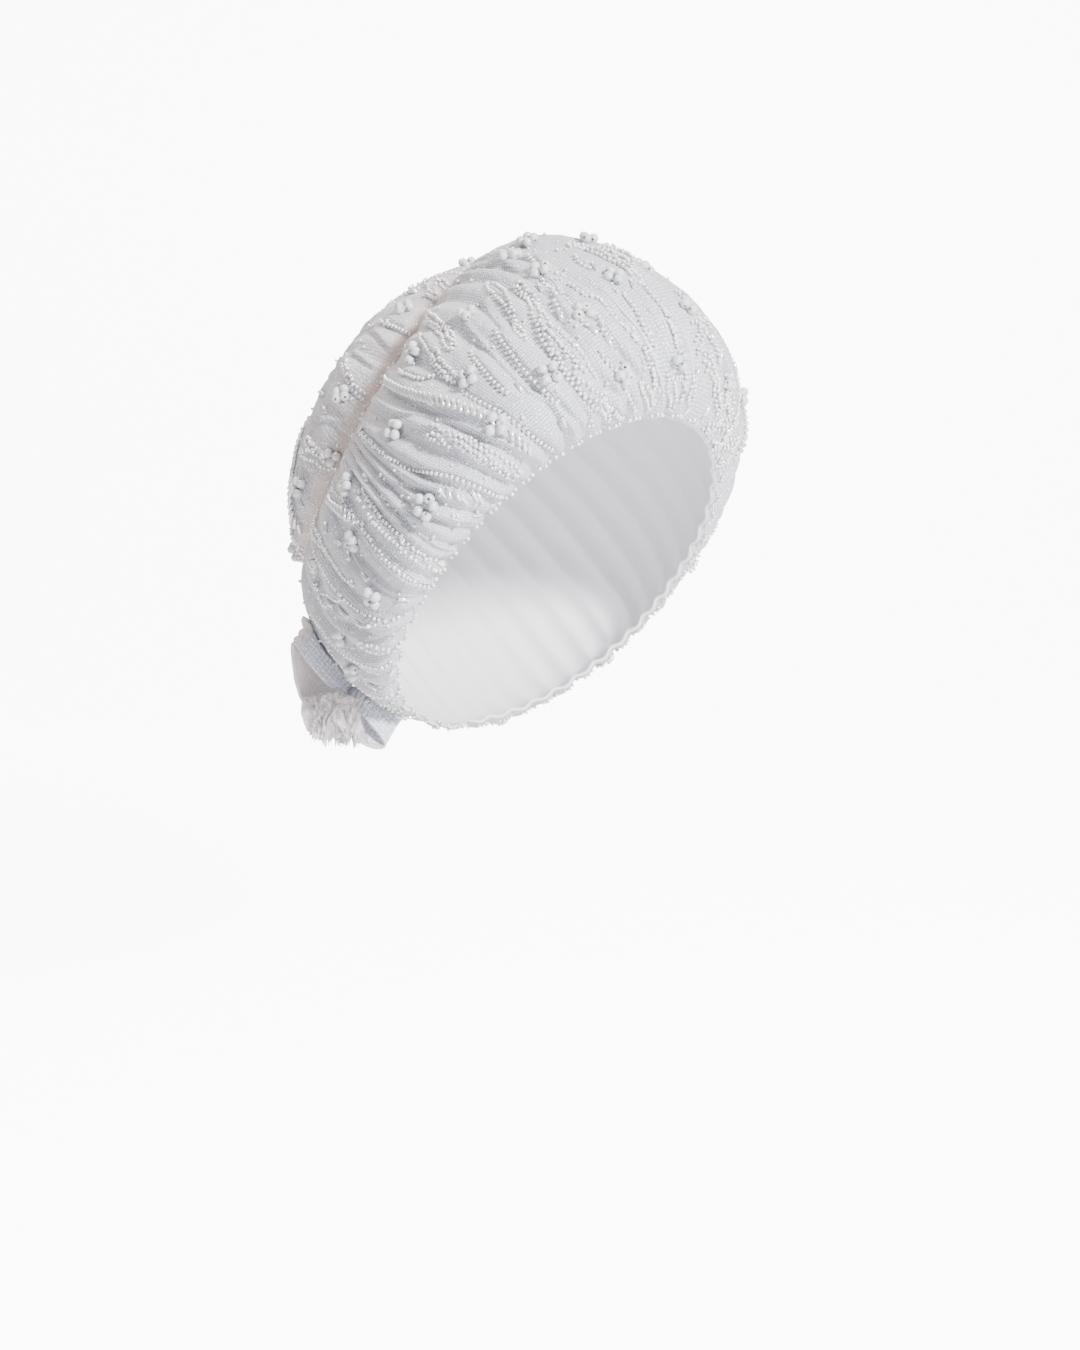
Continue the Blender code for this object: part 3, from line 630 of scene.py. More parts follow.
@dataclass
class PleatedCloth:
    """A cloth gathered in pleats, with the rows sewn on it. Its coordinates are u, which counts the pleats
    round it, and up, a share from its first edge to its last.
    """

    name: str
    rows: list[SewnRow] = field(default_factory=list)
    step: float = 0.6 * MM
    fade: float = 5 * MM
    dip_share: float = 0.36
    dip_off: float = 2.3 * MM
    dip_wide: float = 1.2 * MM
    wrinkle_high: float = 0.55 * MM
    pucker_high: float = 0.28 * MM
    sink: float = 1.3 * MM
    thick: float = 2.0 * MM
    sink_fade: float = 0.07
    crease_fade: float = 0.04
    small: float = 0.002
    ridge_reach: float = 2.2
    end_strength: float = 0.1
    sway: float = 0.12
    wrinkle_rates: tuple[float, float] = (1.7, 5.0)
    pucker_rates: tuple[float, float] = (2.6, 34.0)

    def angle(self, u: Array, up: Array) -> Array:
        """Angle in radians at each place."""
        raise NotImplementedError

    def pleat(self, u: Array, up: Array) -> Array:
        """Height of the pleats in metres at each place."""
        raise NotImplementedError

    def form(self, a: Array, up: Array) -> Array:
        """The smooth form in the opening's frame."""
        raise NotImplementedError

    def base(self, u: Array, up: Array) -> tuple[Array, Array]:
        """Points of the smooth form in the row frame and the directions out of it."""
        a, small = self.angle(u, up), self.small
        low, high = np.clip(up - small, 0, 1), np.clip(up + small, 0, 1)
        normal = np.cross(self.form(a + small, up) - self.form(a - small, up),
                          self.form(a, high) - self.form(a, low))
        return self.form(a, up) @ FORM.worn, unit(normal) @ FORM.worn

    def pleated(self, u: Array, up: Array) -> tuple[Array, Array]:
        """Points of the pleated cloth without its rows, and the directions out of the form."""
        points, normals = self.base(u, up)
        sunk = self.sink * np.clip(self.from_seam(up) / self.sink_fade, 0, 1)
        return points + normals * (self.pleat(u, up) - sunk)[..., None], normals

    def from_seam(self, up: Array) -> Array:
        """How far each place is from the seam crease, as a share of the cloth."""
        raise NotImplementedError

    def edge_fade(self, up: Array) -> Array:
        """How fully rows and wrinkles lift the cloth at each place: 0 at its sewn edges, 1 away from them."""
        return np.clip(self.from_seam(up) / self.crease_fade, 0.0, 1.0)

    def prepare(self) -> None:
        """Makes the coarse cloth on which rows are traced."""
        columns, levels = self.trace_grid
        self.trace_u = np.linspace(0, self.pleats, columns, endpoint=False)
        self.trace_up = np.linspace(0.0, self.top, levels)
        u, up = np.meshgrid(self.trace_u, self.trace_up, indexing="ij")
        self.trace_points = self.pleated(u, up)[0]
        self.trace_tree = search_tree(self.trace_points)

    def under(self, camera: PhotoCamera, pixel: Pixel) -> Optional[tuple[float, float]]:
        """The place on the cloth's outer face that the camera sees at a pixel.

        Args:
            camera: The camera.
            pixel: The pixel.

        Returns:
            u and up, or None where the outer face isn't seen.
        """
        origin, way = Vector(camera.place), camera.ray(pixel)
        hit, normal, number, _ = self.trace_tree.ray_cast(origin, way)
        if hit is None or normal.dot(way) > 0:
            return None
        column, level = divmod(number // 2, len(self.trace_up) - 1)
        after = (column + 1) % len(self.trace_u)
        corner = self.trace_points[column, level]
        edges = np.stack([self.trace_points[after, level], self.trace_points[column, level + 1]]) - corner
        share = np.linalg.lstsq(edges.T, np.array(hit) - corner, rcond=None)[0]
        u = self.trace_u[column] + share[0] * self.pleats / len(self.trace_u)
        return u, self.trace_up[level] + share[1] * (self.trace_up[1] - self.trace_up[0])

    def sew(self, kind: RowKind, places: Array) -> None:
        """Adds a row that passes the places given as u and up."""
        fine = smooth_line(places)
        points, normals = self.pleated(fine[:, 0] % self.pleats, np.clip(fine[:, 1], 0, self.top))
        gaps = np.linalg.norm(np.diff(points, axis=0), axis=-1)
        ruler = np.concatenate([[0.0], np.cumsum(gaps)])
        count = max(4, int(ruler[-1] / self.step))
        even = np.linspace(0, ruler[-1], count)
        points, normals = resample(even, ruler, points), unit(resample(even, ruler, normals))
        along = unit(np.gradient(points, axis=0))
        self.rows.append(SewnRow(kind, points, normals, along, ruler[-1]))

    def sew_shown(self, camera: PhotoCamera, rows: Sequence[PhotoRow]) -> None:
        """Adds the rows that the camera sees."""
        for row in rows:
            found = [place for place in (self.under(camera, pixel) for pixel in row.pixels) if place]
            if len(found) < 2:
                continue
            places = np.array(found)
            places[:, 0] = np.unwrap(places[:, 0], period=self.pleats)
            self.sew(row.kind, places)

    def sew_swaying(self, kind: RowKind, u: float, span: Span, count: int,
                    rng: np.random.Generator) -> None:
        """Adds a row that runs up the cloth near u.

        Args:
            kind: What is sewn along it.
            u: Where it runs, counted in pleats.
            span: up at its ends.
            count: How many places it passes.
            rng: Draws how far it sways from u at each.
        """
        sway = rng.uniform(-self.sway, self.sway, count)
        self.sew(kind, np.stack([u + sway, np.linspace(*span, count)], axis=-1))

    def ridge(self, points: Array) -> Array:
        """How far the rows lift the cloth: a gentle rise on one side, a step with a dip below on the other.

        Args:
            points: Points of the pleated cloth.

        Returns:
            The lift in metres at each point.
        """
        flat = points.reshape(-1, 3)
        lift, dip = np.zeros(len(flat)), np.zeros(len(flat))
        for row in self.rows:
            style = STYLES[row.kind]
            reach = self.ridge_reach * max(style.gentle, style.steep) * MM
            low, high = row.points.min(axis=0) - reach, row.points.max(axis=0) + reach
            near = np.flatnonzero(((flat > low) & (flat < high)).all(axis=-1))
            if not len(near):
                continue
            gap = flat[near][:, None, :] - row.points[None, :, :]
            far = (gap ** 2).sum(axis=-1)
            at = far.argmin(axis=1)
            off = np.sqrt(far[np.arange(len(near)), at])
            side = (gap[np.arange(len(near)), at] * row.across[at]).sum(axis=-1)
            ends = np.minimum(at, len(row.points) - 1 - at) * self.step
            strength = np.clip(ends / self.fade, self.end_strength, 1) * style.ridge * MM
            wide = np.where(side > 0, style.gentle, style.steep) * MM
            rise = strength * np.exp(-(off / wide) ** 2)
            fall = np.where(side > 0, 0.0, strength * self.dip_share
                            * np.exp(-((off - self.dip_off) / self.dip_wide) ** 2))
            lift[near] = np.maximum(lift[near], rise)
            dip[near] = np.maximum(dip[near], fall)
        return (lift - dip * (1 - lift / max(lift.max(), 1e-9))).reshape(points.shape[:-1])

    def wrinkles(self, u: Array, up: Array) -> Array:
        """Fine folds that run with the pleats and small puckers across them, in metres."""
        turn = 2 * np.pi * u / self.pleats
        ring = self.pleats / (2 * np.pi)
        heights = np.zeros(u.size)
        for (across, along), high in ((self.wrinkle_rates, self.wrinkle_high),
                                      (self.pucker_rates, self.pucker_high)):
            heights += [high * noise.noise((math.cos(t) * ring * across, math.sin(t) * ring * across,
                                            v * along)) for t, v in zip(turn.ravel(), up.ravel())]
        return heights.reshape(u.shape)


class BandCloth(PleatedCloth):
    """The ruched side of the cap."""

    table = (
        Pleat(192, 189, 2.6), Pleat(199, 196, 3.0), Pleat(207, 203, 2.6), Pleat(215, 210, 3.0),
        Pleat(223, 219, 2.6), Pleat(231, 228, 3.0), Pleat(238, 238, 2.6), Pleat(245, 247, 3.0),
        Pleat(251, 253, 3.2), Pleat(257, 256, 2.4), Pleat(263, 258, 2.8), Pleat(269, 260, 2.4),
        Pleat(275, 262, 2.6), Pleat(281, 265, 3.2), Pleat(287, 271, 2.8), Pleat(293, 278, 3.2),
        Pleat(298, 288, 2.8), Pleat(303, 297, 3.0), Pleat(309, 305, 2.6), Pleat(315, 311, 3.2),
        Pleat(322, 316, 2.6), Pleat(330, 321, 3.2), Pleat(338, 329, 2.6), Pleat(346, 338, 3.0),
        Pleat(354, 347, 2.6),
    )
    hidden = 23
    hidden_high = (2.6, 3.0)
    top = 1.0
    crest_power = 0.74
    end_share = 0.75
    seam_flat = 0.1
    rim_fade = 0.03
    trace_grid = (960, 90)
    edge_half = 0.24
    edge_up = (0.012, 0.02)
    hidden_margin = (0.6, 0.4)
    hidden_low = (0.02, 0.12)
    hidden_top = (0.86, 0.97)
    short_top = (0.5, 0.7)
    short_low = (0.3, 0.45)

    def __init__(self) -> None:
        """Fills in the pleats that don't show."""
        super().__init__("band")
        first, last = self.table[0], self.table[-1]
        pleats = list(self.table)
        for i in range(1, self.hidden + 1):
            share = i / (self.hidden + 1)
            pleats.append(Pleat(last.rim_deg + share * (first.rim_deg + 360 - last.rim_deg),
                                last.seam_deg + share * (first.seam_deg + 360 - last.seam_deg),
                                self.hidden_high[i % 2]))
        pleats.append(Pleat(first.rim_deg + 360, first.seam_deg + 360, first.high))
        self.lines = np.array(pleats)
        self.pleats = len(pleats) - 1

    def angle(self, u: Array, up: Array) -> Array:
        """Angle in radians at each place."""
        around = u % self.pleats
        number = np.arange(self.pleats + 1)
        rim = np.interp(around, number, self.lines[:, 0])
        seam = np.interp(around, number, self.lines[:, 1])
        return np.radians(seam + (rim - seam) * (1 - up) ** 2)

    def pleat(self, u: Array, up: Array) -> Array:
        """Height of the pleats in metres at each place."""
        high = np.interp(u % self.pleats, np.arange(self.pleats + 1), self.lines[:, 2])
        wave = (0.5 + 0.5 * np.cos(2 * np.pi * u)) ** self.crest_power
        fade = self.end_share + (1 - self.end_share) * np.sin(np.pi * up)
        return high * MM * wave * (fade * np.clip((1 - up) / self.seam_flat, 0, 1))

    def form(self, a: Array, up: Array) -> Array:
        """The smooth form in the opening's frame."""
        return FORM.band(a, up)

    def from_seam(self, up: Array) -> Array:
        """How far each place is from the seam crease."""
        return 1 - up

    def edge_fade(self, up: Array) -> Array:
        """How fully the rows and wrinkles lift the cloth: also 0 at the opening's edge."""
        return np.minimum(super().edge_fade(up), np.clip(up / self.rim_fade, 0.0, 1.0))

    def place(self, around_deg: float, up: float) -> float:
        """u at an angle in degrees."""
        lines = self.lines[:, 1] + (self.lines[:, 0] - self.lines[:, 1]) * (1 - up) ** 2
        around = (around_deg - lines[0]) % 360 + lines[0]
        return float(np.interp(around, lines, np.arange(self.pleats + 1)))

    def sew_edge(self) -> None:
        """Adds the beads at the edge, on the crest of each pleat."""
        half, (low, high) = self.edge_half, self.edge_up
        for crest in range(self.pleats):
            self.sew(RowKind.EDGE, np.array([(crest - half, low), (crest, high), (crest + half, low)]))

    def sew_hidden(self, rng: np.random.Generator) -> None:
        """Adds rows on the pleats that don't show."""
        kinds = (S, F, W, T, S, R, D, C, S, T)
        before, after = self.hidden_margin
        for number, start in enumerate(np.arange(len(self.table) - before, self.pleats - after, 0.5)):
            low, high = rng.uniform(*self.hidden_low), rng.uniform(*self.hidden_top)
            if number % 3 == 1:
                high = rng.uniform(*self.short_top)
            elif number % 5 == 3:
                low = rng.uniform(*self.short_low)
            self.sew_swaying(kinds[number % len(kinds)], start, (low, high), 6, rng)


class TipCloth(PleatedCloth):
    """The shallow crown that is gathered towards its middle."""

    pleats = 30
    high = 1.8 * MM
    top = 0.93
    seam_flat = 0.1
    pole_power = 0.7
    hidden = 30
    hidden_from = 318
    hidden_step = 9.2
    hidden_low = (0.04, 0.1)
    hidden_top = (0.55, 0.8)
    short_top = (0.3, 0.5)
    trace_grid = (480, 70)

    def angle(self, u: Array, up: Array) -> Array:
        """Angle in radians at each place."""
        return 2 * np.pi * u / self.pleats

    def pleat(self, u: Array, up: Array) -> Array:
        """Height of the pleats in metres at each place."""
        wave = 0.5 + 0.5 * np.cos(2 * np.pi * u)
        return wave * np.clip(up / self.seam_flat, 0, 1) * (1 - up) ** self.pole_power * self.high

    def form(self, a: Array, up: Array) -> Array:
        """The smooth form in the opening's frame."""
        return FORM.tip(a, up)

    def from_seam(self, up: Array) -> Array:
        """How far each place is from the seam crease."""
        return up

    def place(self, around_deg: float, up: float) -> float:
        """u at an angle in degrees."""
        return around_deg / 360 * self.pleats

    def sew_hidden(self, rng: np.random.Generator) -> None:
        """Adds rows on the part of the tip that doesn't show."""
        kinds = (S, D, F, S, T, W, S, C, R, T)
        for number in range(self.hidden):
            u = self.place(self.hidden_from + number * self.hidden_step, 0.0)
            low, high = rng.uniform(*self.hidden_low), rng.uniform(*self.hidden_top)
            if number % 2:
                high = rng.uniform(*self.short_top)
            self.sew_swaying(kinds[number % len(kinds)], u, (low, high), 5, rng)


class NodeTree:
    """A short way to add and link a shader's nodes."""

    def __init__(self, tree: bpy.types.NodeTree) -> None:
        """Keeps the tree."""
        self.tree = tree

    def add(self, kind: str, **values: object) -> bpy.types.Node:
        """A node of a kind, with settings or inputs by name."""
        node = self.tree.nodes.new(kind)
        for name, value in values.items():
            if hasattr(node, name):
                setattr(node, name, value)
            else:
                self.feed(node, **{name: value})
        return node

    def put(self, value: object, socket: Socket) -> None:
        """Links a socket to an input, or sets the input to a value."""
        if isinstance(value, Socket):
            self.tree.links.new(value, socket)
        else:
            socket.default_value = value

    def feed(self, node: bpy.types.Node, **values: object) -> None:
        """Puts sockets or values into a node's inputs, by name."""
        for name, value in values.items():
            self.put(value, node.inputs[name.replace("_", " ")])

    def math(self, operation: str, *values: object) -> Socket:
        """The result of a sum on sockets or numbers."""
        node = self.tree.nodes.new("ShaderNodeMath")
        node.operation = operation
        for socket, value in zip(node.inputs, values):
            self.put(value, socket)
        return node.outputs[0]

    def split(self, vector: Socket) -> bpy.types.NodeOutputs:
        """The three parts of a vector."""
        return self.add("ShaderNodeSeparateXYZ", Vector=vector).outputs

    def mix(self, share: Socket, first: object, second: object) -> Socket:
        """A colour between two."""
        node = self.tree.nodes.new("ShaderNodeMix")
        node.data_type = "RGBA"
        self.tree.links.new(share, node.inputs[0])
        for socket, value in zip((node.inputs[6], node.inputs[7]), (first, second)):
            self.put(value if isinstance(value, Socket) else (*value, 1.0), socket)
        return node.outputs[2]

    def ramp(self, value: Socket, low: float, high: float) -> Socket:
        """A value spread from 0 to 1 between two limits."""
        node = self.tree.nodes.new("ShaderNodeMapRange")
        self.tree.links.new(value, node.inputs[0])
        node.inputs[1].default_value, node.inputs[2].default_value = low, high
        return node.outputs[0]


def new_group(name: str, inputs: Sequence[str],
              outputs: Sequence[str]) -> tuple[NodeTree, bpy.types.NodeOutputs, bpy.types.Node]:
    """Starts a shared group of nodes.

    Args:
        name: Its name.
        inputs: Its inputs: Place is a vector, and the others are numbers.
        outputs: Its outputs, all numbers.

    Returns:
        Its kit, the sockets that its inputs come from, and the node that its outputs go to.
    """
    group = bpy.data.node_groups.new(name, "ShaderNodeTree")
    for way, labels in (("INPUT", inputs), ("OUTPUT", outputs)):
        for label in labels:
            kind = "NodeSocketVector" if label == "Place" else "NodeSocketFloat"
            group.interface.new_socket(label, in_out=way, socket_type=kind)
    source = group.nodes.new("NodeGroupInput")
    return NodeTree(group), source.outputs, group.nodes.new("NodeGroupOutput")


def new_material(name: str) -> tuple[bpy.types.Material, NodeTree, bpy.types.Node]:
    """A material, its kit and its shader."""
    material = bpy.data.materials.new(name)
    material.use_nodes = True
    return material, NodeTree(material.node_tree), material.node_tree.nodes["Principled BSDF"]


def weave_group(wobble_scale: float = 420.0, over_high: float = 0.25) -> bpy.types.NodeTree:
    """The shared weave: threads that pass over and under each other, with painted shade between them and
    painted highlights on their crests.

    Args:
        wobble_scale: How fine the threads' wobble is.
        over_high: How much higher a thread lies where it passes over another.

    Returns:
        The group, with the weave's height and masks of its painted gap shade and its painted crest
        highlights.
    """
    kit, given, target = new_group("thread_weave", ("Place", "Threads", "Slub"), ("Height", "Gaps", "Dots"))
    wobble = kit.add("ShaderNodeTexNoise", Vector=given["Place"], Scale=wobble_scale, Detail=1.0)
    slip = kit.math("MULTIPLY", kit.math("SUBTRACT", wobble.outputs[0], 0.5), given["Slub"])
    body, over = 1.0, 1.0
    for part in list(kit.split(given["Place"]))[:2]:
        count = kit.math("ADD", kit.math("MULTIPLY", part, given["Threads"]), slip)
        turn = kit.math("MULTIPLY", count, math.pi)
        body = kit.math("MULTIPLY", kit.math("ABSOLUTE", kit.math("SINE", turn)), body)
        over = kit.math("MULTIPLY", kit.math("COSINE", turn), over)
    # Gaps marks the low gaps between threads for painted shade, and Highlights marks the thread crests for
    # painted highlights.
    kit.feed(target, Height=kit.math("ADD", body, kit.math("MULTIPLY", over, over_high)),
             Gaps=kit.ramp(body, 0.45, 0.05), Dots=kit.ramp(body, 0.45, 0.85))
    return kit.tree


def speckle_group() -> bpy.types.NodeTree:
    """The shared sparkle: small flecks of shiny thread, whose white colour is a painted glint."""
    kit, given, target = new_group("thread_sparkle", ("Place", "Scale", "Amount"), ("Mask",))
    cells = kit.add("ShaderNodeTexVoronoi", Vector=given["Place"], Scale=given["Scale"])
    tone = kit.add("ShaderNodeSeparateColor", Color=cells.outputs["Color"]).outputs[0]
    near = kit.ramp(cells.outputs["Distance"], 0.42, 0.18)
    kit.feed(target, Mask=kit.math("MULTIPLY", kit.math("LESS_THAN", tone, given["Amount"]), near))
    return kit.tree


@dataclass(frozen=True)
class WovenFinish:
    """A woven cloth: its colours, its threads to the metre, its flecks of shiny thread and its relief, with
    painted highlights, glints and shade in its colour.
    """

    name: str
    colour: Colour
    # shade is the darker tone of cloudy patches and dull flecks, and the painted shade in the gaps between
    # threads.
    shade: Colour
    # The white of the painted glints on the flecks and of the painted highlights on the thread crests.
    highlight_white: Colour
    # The warm colour painted where the tint attribute says: warm shade and reflected light along the seam
    # crease, a warm cast from above on the tip, light through the far run of the bow's loops, and a plain
    # warm tone on knot and tuft.
    warm: Colour
    threads: float
    slub: float
    relief: float
    grain: float
    # How strongly highlights are painted white on the thread crests.
    crest_highlight: float
    # How strongly shade is painted into the gaps between threads.
    gaps: float
    fleck_scale: float
    bright_share: float
    dull_share: float
    roughness: float = 0.6
    sheen: float = 0.35
    glint: float = 0.15
    through: float = 0.0
    # The colour of the inner face and rolled edge of the same cloth, painted lighter to lift the shade inside
    # the cap.
    painted_inner_light: Colour = (0.80, 0.80, 0.83)
    cloud_scale: float = 45.0
    cloud_span: Span = (0.3, 0.65)
    shade_span: Span = (0.4, 0.7)
    bright_least: float = 0.4
    bright_smooth: float = 0.3
    bright_coat: float = 0.6
    bright_high: float = 0.8
    crest_highlight_least: float = 0.3
    dull_size: float = 0.83
    dull_dark: float = 0.8
    middle_share: float = 0.6
    bump: float = 0.7

    def make(self, weave: bpy.types.NodeTree, speckle: bpy.types.NodeTree) -> bpy.types.Material:
        """Makes the material.

        Args:
            weave: The shared weave.
            speckle: The shared sparkle.

        Returns:
            The material.
        """
        material, kit, shader = new_material(self.name)
        along = kit.add("ShaderNodeAttribute", attribute_name="weave").outputs["Vector"]
        tint = kit.add("ShaderNodeAttribute", attribute_name="tint").outputs["Fac"]
        place = kit.add("ShaderNodeTexCoord").outputs["Object"]
        threads = kit.add("ShaderNodeGroup", node_tree=weave)
        kit.feed(threads, Place=along, Threads=self.threads, Slub=self.slub)
        clouds = kit.add("ShaderNodeTexNoise", Vector=place, Scale=self.cloud_scale, Detail=2.0)
        patchy = kit.ramp(clouds.outputs[0], *self.cloud_span)
        # Marks the inner face, which is painted lighter.
        painted_inner_light = kit.split(along)[2]
        face = kit.math("SUBTRACT", 1.0, painted_inner_light)
        woven = kit.math("MULTIPLY", face, kit.math("SUBTRACT", 1.0, tint))
        amount = kit.math("MULTIPLY_ADD", patchy, self.bright_share, self.bright_least * self.bright_share)
        glint_flecks = kit.math("MULTIPLY", self.flecks(kit, speckle, place, self.fleck_scale, amount), face)
        dull = self.flecks(kit, speckle, place, self.fleck_scale * self.dull_size, self.dull_share)
        dull = kit.math("MULTIPLY", dull, face)
        middle = tuple(self.middle_share * light + (1 - self.middle_share) * dark
                       for light, dark in zip(self.colour, self.shade))
        base = kit.mix(kit.ramp(clouds.outputs[0], *self.shade_span), self.colour, middle)
        # Painted shade in the gaps between threads.
        base = kit.mix(kit.math("MULTIPLY", threads.outputs["Gaps"], self.gaps), base, self.shade)
        base = kit.mix(kit.math("MULTIPLY", dull, self.dull_dark), base, self.shade)
        # Painted warm shade and light where the tint attribute asks for it; on knot and tuft a plain warm
        # tone.
        base = kit.mix(tint, base, self.warm)
        # Painted highlights: the thread crests are painted white, in patches, and less where the cloth is
        # tinted or on its inner face.
        patches = kit.math("MULTIPLY_ADD", patchy, 1 - self.crest_highlight_least, self.crest_highlight_least)
        shown = kit.math("MULTIPLY", kit.math("MULTIPLY", threads.outputs["Dots"], patches), woven)
        base = kit.mix(kit.math("MULTIPLY", shown, self.crest_highlight), base, self.highlight_white)
        # Painted glints: the flecks are painted white under any light; their coat and metal shine are real.
        base = kit.mix(glint_flecks, base, self.highlight_white)
        body = kit.math("MULTIPLY", kit.math("MULTIPLY", threads.outputs["Height"], self.grain), woven)
        relief = kit.math("ADD", body, kit.math("MULTIPLY", glint_flecks, self.bright_high))
        bump = kit.add("ShaderNodeBump", Strength=self.bump, Distance=self.relief, Height=relief)
        smooth = kit.math("MULTIPLY", glint_flecks, self.bright_smooth)
        # The inner face takes the painted lighter colour.
        kit.feed(shader, Base_Color=kit.mix(painted_inner_light, base, self.painted_inner_light),
                 Roughness=kit.math("SUBTRACT", self.roughness, smooth),
                 Metallic=kit.math("MULTIPLY", glint_flecks, self.glint),
                 Coat_Weight=kit.math("MULTIPLY", glint_flecks, self.bright_coat), Coat_Roughness=0.15,
                 Subsurface_Weight=self.through, Subsurface_Radius=(1.0, 1.0, 1.0), Subsurface_Scale=0.005,
                 Sheen_Weight=self.sheen, Sheen_Roughness=0.4, Normal=bump.outputs[0])
        return material

    @staticmethod
    def flecks(kit: NodeTree, speckle: bpy.types.NodeTree, place: Socket, scale: float,
               share: object) -> Socket:
        """A mask of flecks of one size, over a share of the cloth that may change along it."""
        node = kit.add("ShaderNodeGroup", node_tree=speckle)
        kit.feed(node, Place=place, Scale=scale, Amount=share)
        return node.outputs["Mask"]


@dataclass(frozen=True)
class BeadFinish:
    """A bead: two colours that change from bead to bead, the painted shade of its hole, and its gloss."""

    name: str
    colour: Colour
    other: Colour
    # The painted shade seen in the bead's hole.
    hole: Colour
    cell: float
    roughness: float
    coat: float
    metallic: float = 0.0
    uneven: float = 0.1

    def make(self) -> bpy.types.Material:
        """Makes the material."""
        material, kit, shader = new_material(self.name)
        place = kit.add("ShaderNodeTexCoord").outputs["Object"]
        tint = kit.add("ShaderNodeAttribute", attribute_name="tint").outputs["Fac"]
        cells = kit.add("ShaderNodeTexVoronoi", Vector=place, Scale=1 / self.cell)
        tone = kit.add("ShaderNodeSeparateColor", Color=cells.outputs["Color"]).outputs[0]
        soft = kit.add("ShaderNodeTexNoise", Vector=place, Scale=0.6 / self.cell, Detail=2.0)
        base = kit.mix(tone, self.colour, self.other)
        # Painted shade where the tint attribute marks the hole.
        kit.feed(shader, Base_Color=kit.mix(tint, base, self.hole),
                 Roughness=kit.math("MULTIPLY_ADD", soft.outputs[0], self.uneven, self.roughness),
                 Metallic=self.metallic, Coat_Weight=self.coat, Coat_Roughness=0.08)
        return material


@dataclass(frozen=True)
class ThreadFinish:
    """Satin cord or loose thread: fine lines along it and a silky shine."""

    name: str
    colour: Colour
    shade: Colour
    roughness: float
    uneven: float = 0.12
    relief: float = 0.0002

    def make(self) -> bpy.types.Material:
        """Makes the material."""
        material, kit, shader = new_material(self.name)
        place = kit.add("ShaderNodeTexCoord").outputs["Object"]
        grain = kit.add("ShaderNodeTexNoise", Vector=place, Scale=1500.0, Detail=3.0)
        bump = kit.add("ShaderNodeBump", Strength=0.4, Distance=self.relief, Height=grain.outputs[0])
        kit.feed(shader, Base_Color=kit.mix(grain.outputs[0], self.colour, self.shade),
                 Roughness=kit.math("MULTIPLY_ADD", grain.outputs[0], self.uneven, self.roughness),
                 Sheen_Weight=0.3, Normal=bump.outputs[0])
        return material


class Finishes:
    """Every material of the cap."""

    def __init__(self) -> None:
        """Makes the shared groups and the materials."""
        weave, speckle = weave_group(), speckle_group()
        self.cloth = WovenFinish(
            "beaded_cloth", colour=(0.49, 0.495, 0.55), shade=(0.28, 0.31, 0.43), highlight_white=(1.0, 1.0, 1.0),
            warm=(0.56, 0.435, 0.38), threads=760.0, slub=1.0, relief=0.0007, grain=0.25, crest_highlight=0.85, gaps=0.5,
            fleck_scale=640.0, bright_share=0.44, dull_share=0.12).make(weave, speckle)
        self.ribbon = WovenFinish(
            "bow_cloth", colour=(0.74, 0.76, 0.87), shade=(0.44, 0.47, 0.62), highlight_white=(1.0, 1.0, 1.0),
            warm=(0.80, 0.69, 0.68), threads=430.0, slub=1.1, relief=0.0008, grain=0.8, crest_highlight=1.0, gaps=0.6,
            fleck_scale=560.0, bright_share=0.3, dull_share=0.1, roughness=0.4, sheen=0.3,
            through=0.25).make(weave, speckle)
        self.sheer = WovenFinish(
            "frayed_cloth", colour=(0.68, 0.62, 0.64), shade=(0.40, 0.34, 0.36), highlight_white=(1.0, 1.0, 1.0),
            warm=(0.62, 0.52, 0.52), threads=1100.0, slub=0.8, relief=0.0005, grain=0.3, crest_highlight=0.1, gaps=0.3,
            fleck_scale=560.0, bright_share=0.4, dull_share=0.14, roughness=0.5, sheen=0.3,
            through=0.4).make(weave, speckle)
        self.seed = BeadFinish("seed_bead", (1.0, 1.0, 1.0), (0.92, 0.90, 0.90), (0.16, 0.15, 0.17), 2.3 * MM,
                               0.24, 1.0, 0.42).make()
        self.pearl = BeadFinish("pearl", (0.70, 0.705, 0.72), (0.61, 0.63, 0.655), (0.18, 0.18, 0.20), 5 * MM,
                                0.2, 0.9).make()
        self.bugle = BeadFinish("bugle_bead", (0.98, 0.98, 1.0), (0.80, 0.80, 0.84), (0.30, 0.30, 0.33),
                                5 * MM, 0.15, 1.0, 0.5).make()
        self.cord = ThreadFinish("satin_cord", (0.80, 0.79, 0.79), (0.66, 0.65, 0.66), 0.35).make()
        self.thread = ThreadFinish("thread", (0.74, 0.70, 0.70), (0.58, 0.54, 0.55), 0.5).make()


@dataclass
class ClothPiece:
    """The outer and inner faces of one cloth wall."""

    cloth: PleatedCloth
    columns: Array
    levels: Array
    inner_levels: int = 10

    def outer(self) -> Array:
        """Points of the outer face, columns by levels."""
        u, up = np.meshgrid(self.columns, self.levels, indexing="ij")
        points, normals = self.cloth.pleated(u, up)
        lift = self.cloth.ridge(points) + self.cloth.wrinkles(u, up)
        return points + normals * (lift * self.cloth.edge_fade(up))[..., None]

    def inner(self) -> Array:
        """Points of the inner face, columns by levels."""
        ups = np.linspace(self.levels[0], self.levels[-1], self.inner_levels)
        u, up = np.meshgrid(self.columns, ups, indexing="ij")
        points, normals = self.cloth.pleated(u, up)
        return points - normals * self.cloth.thick


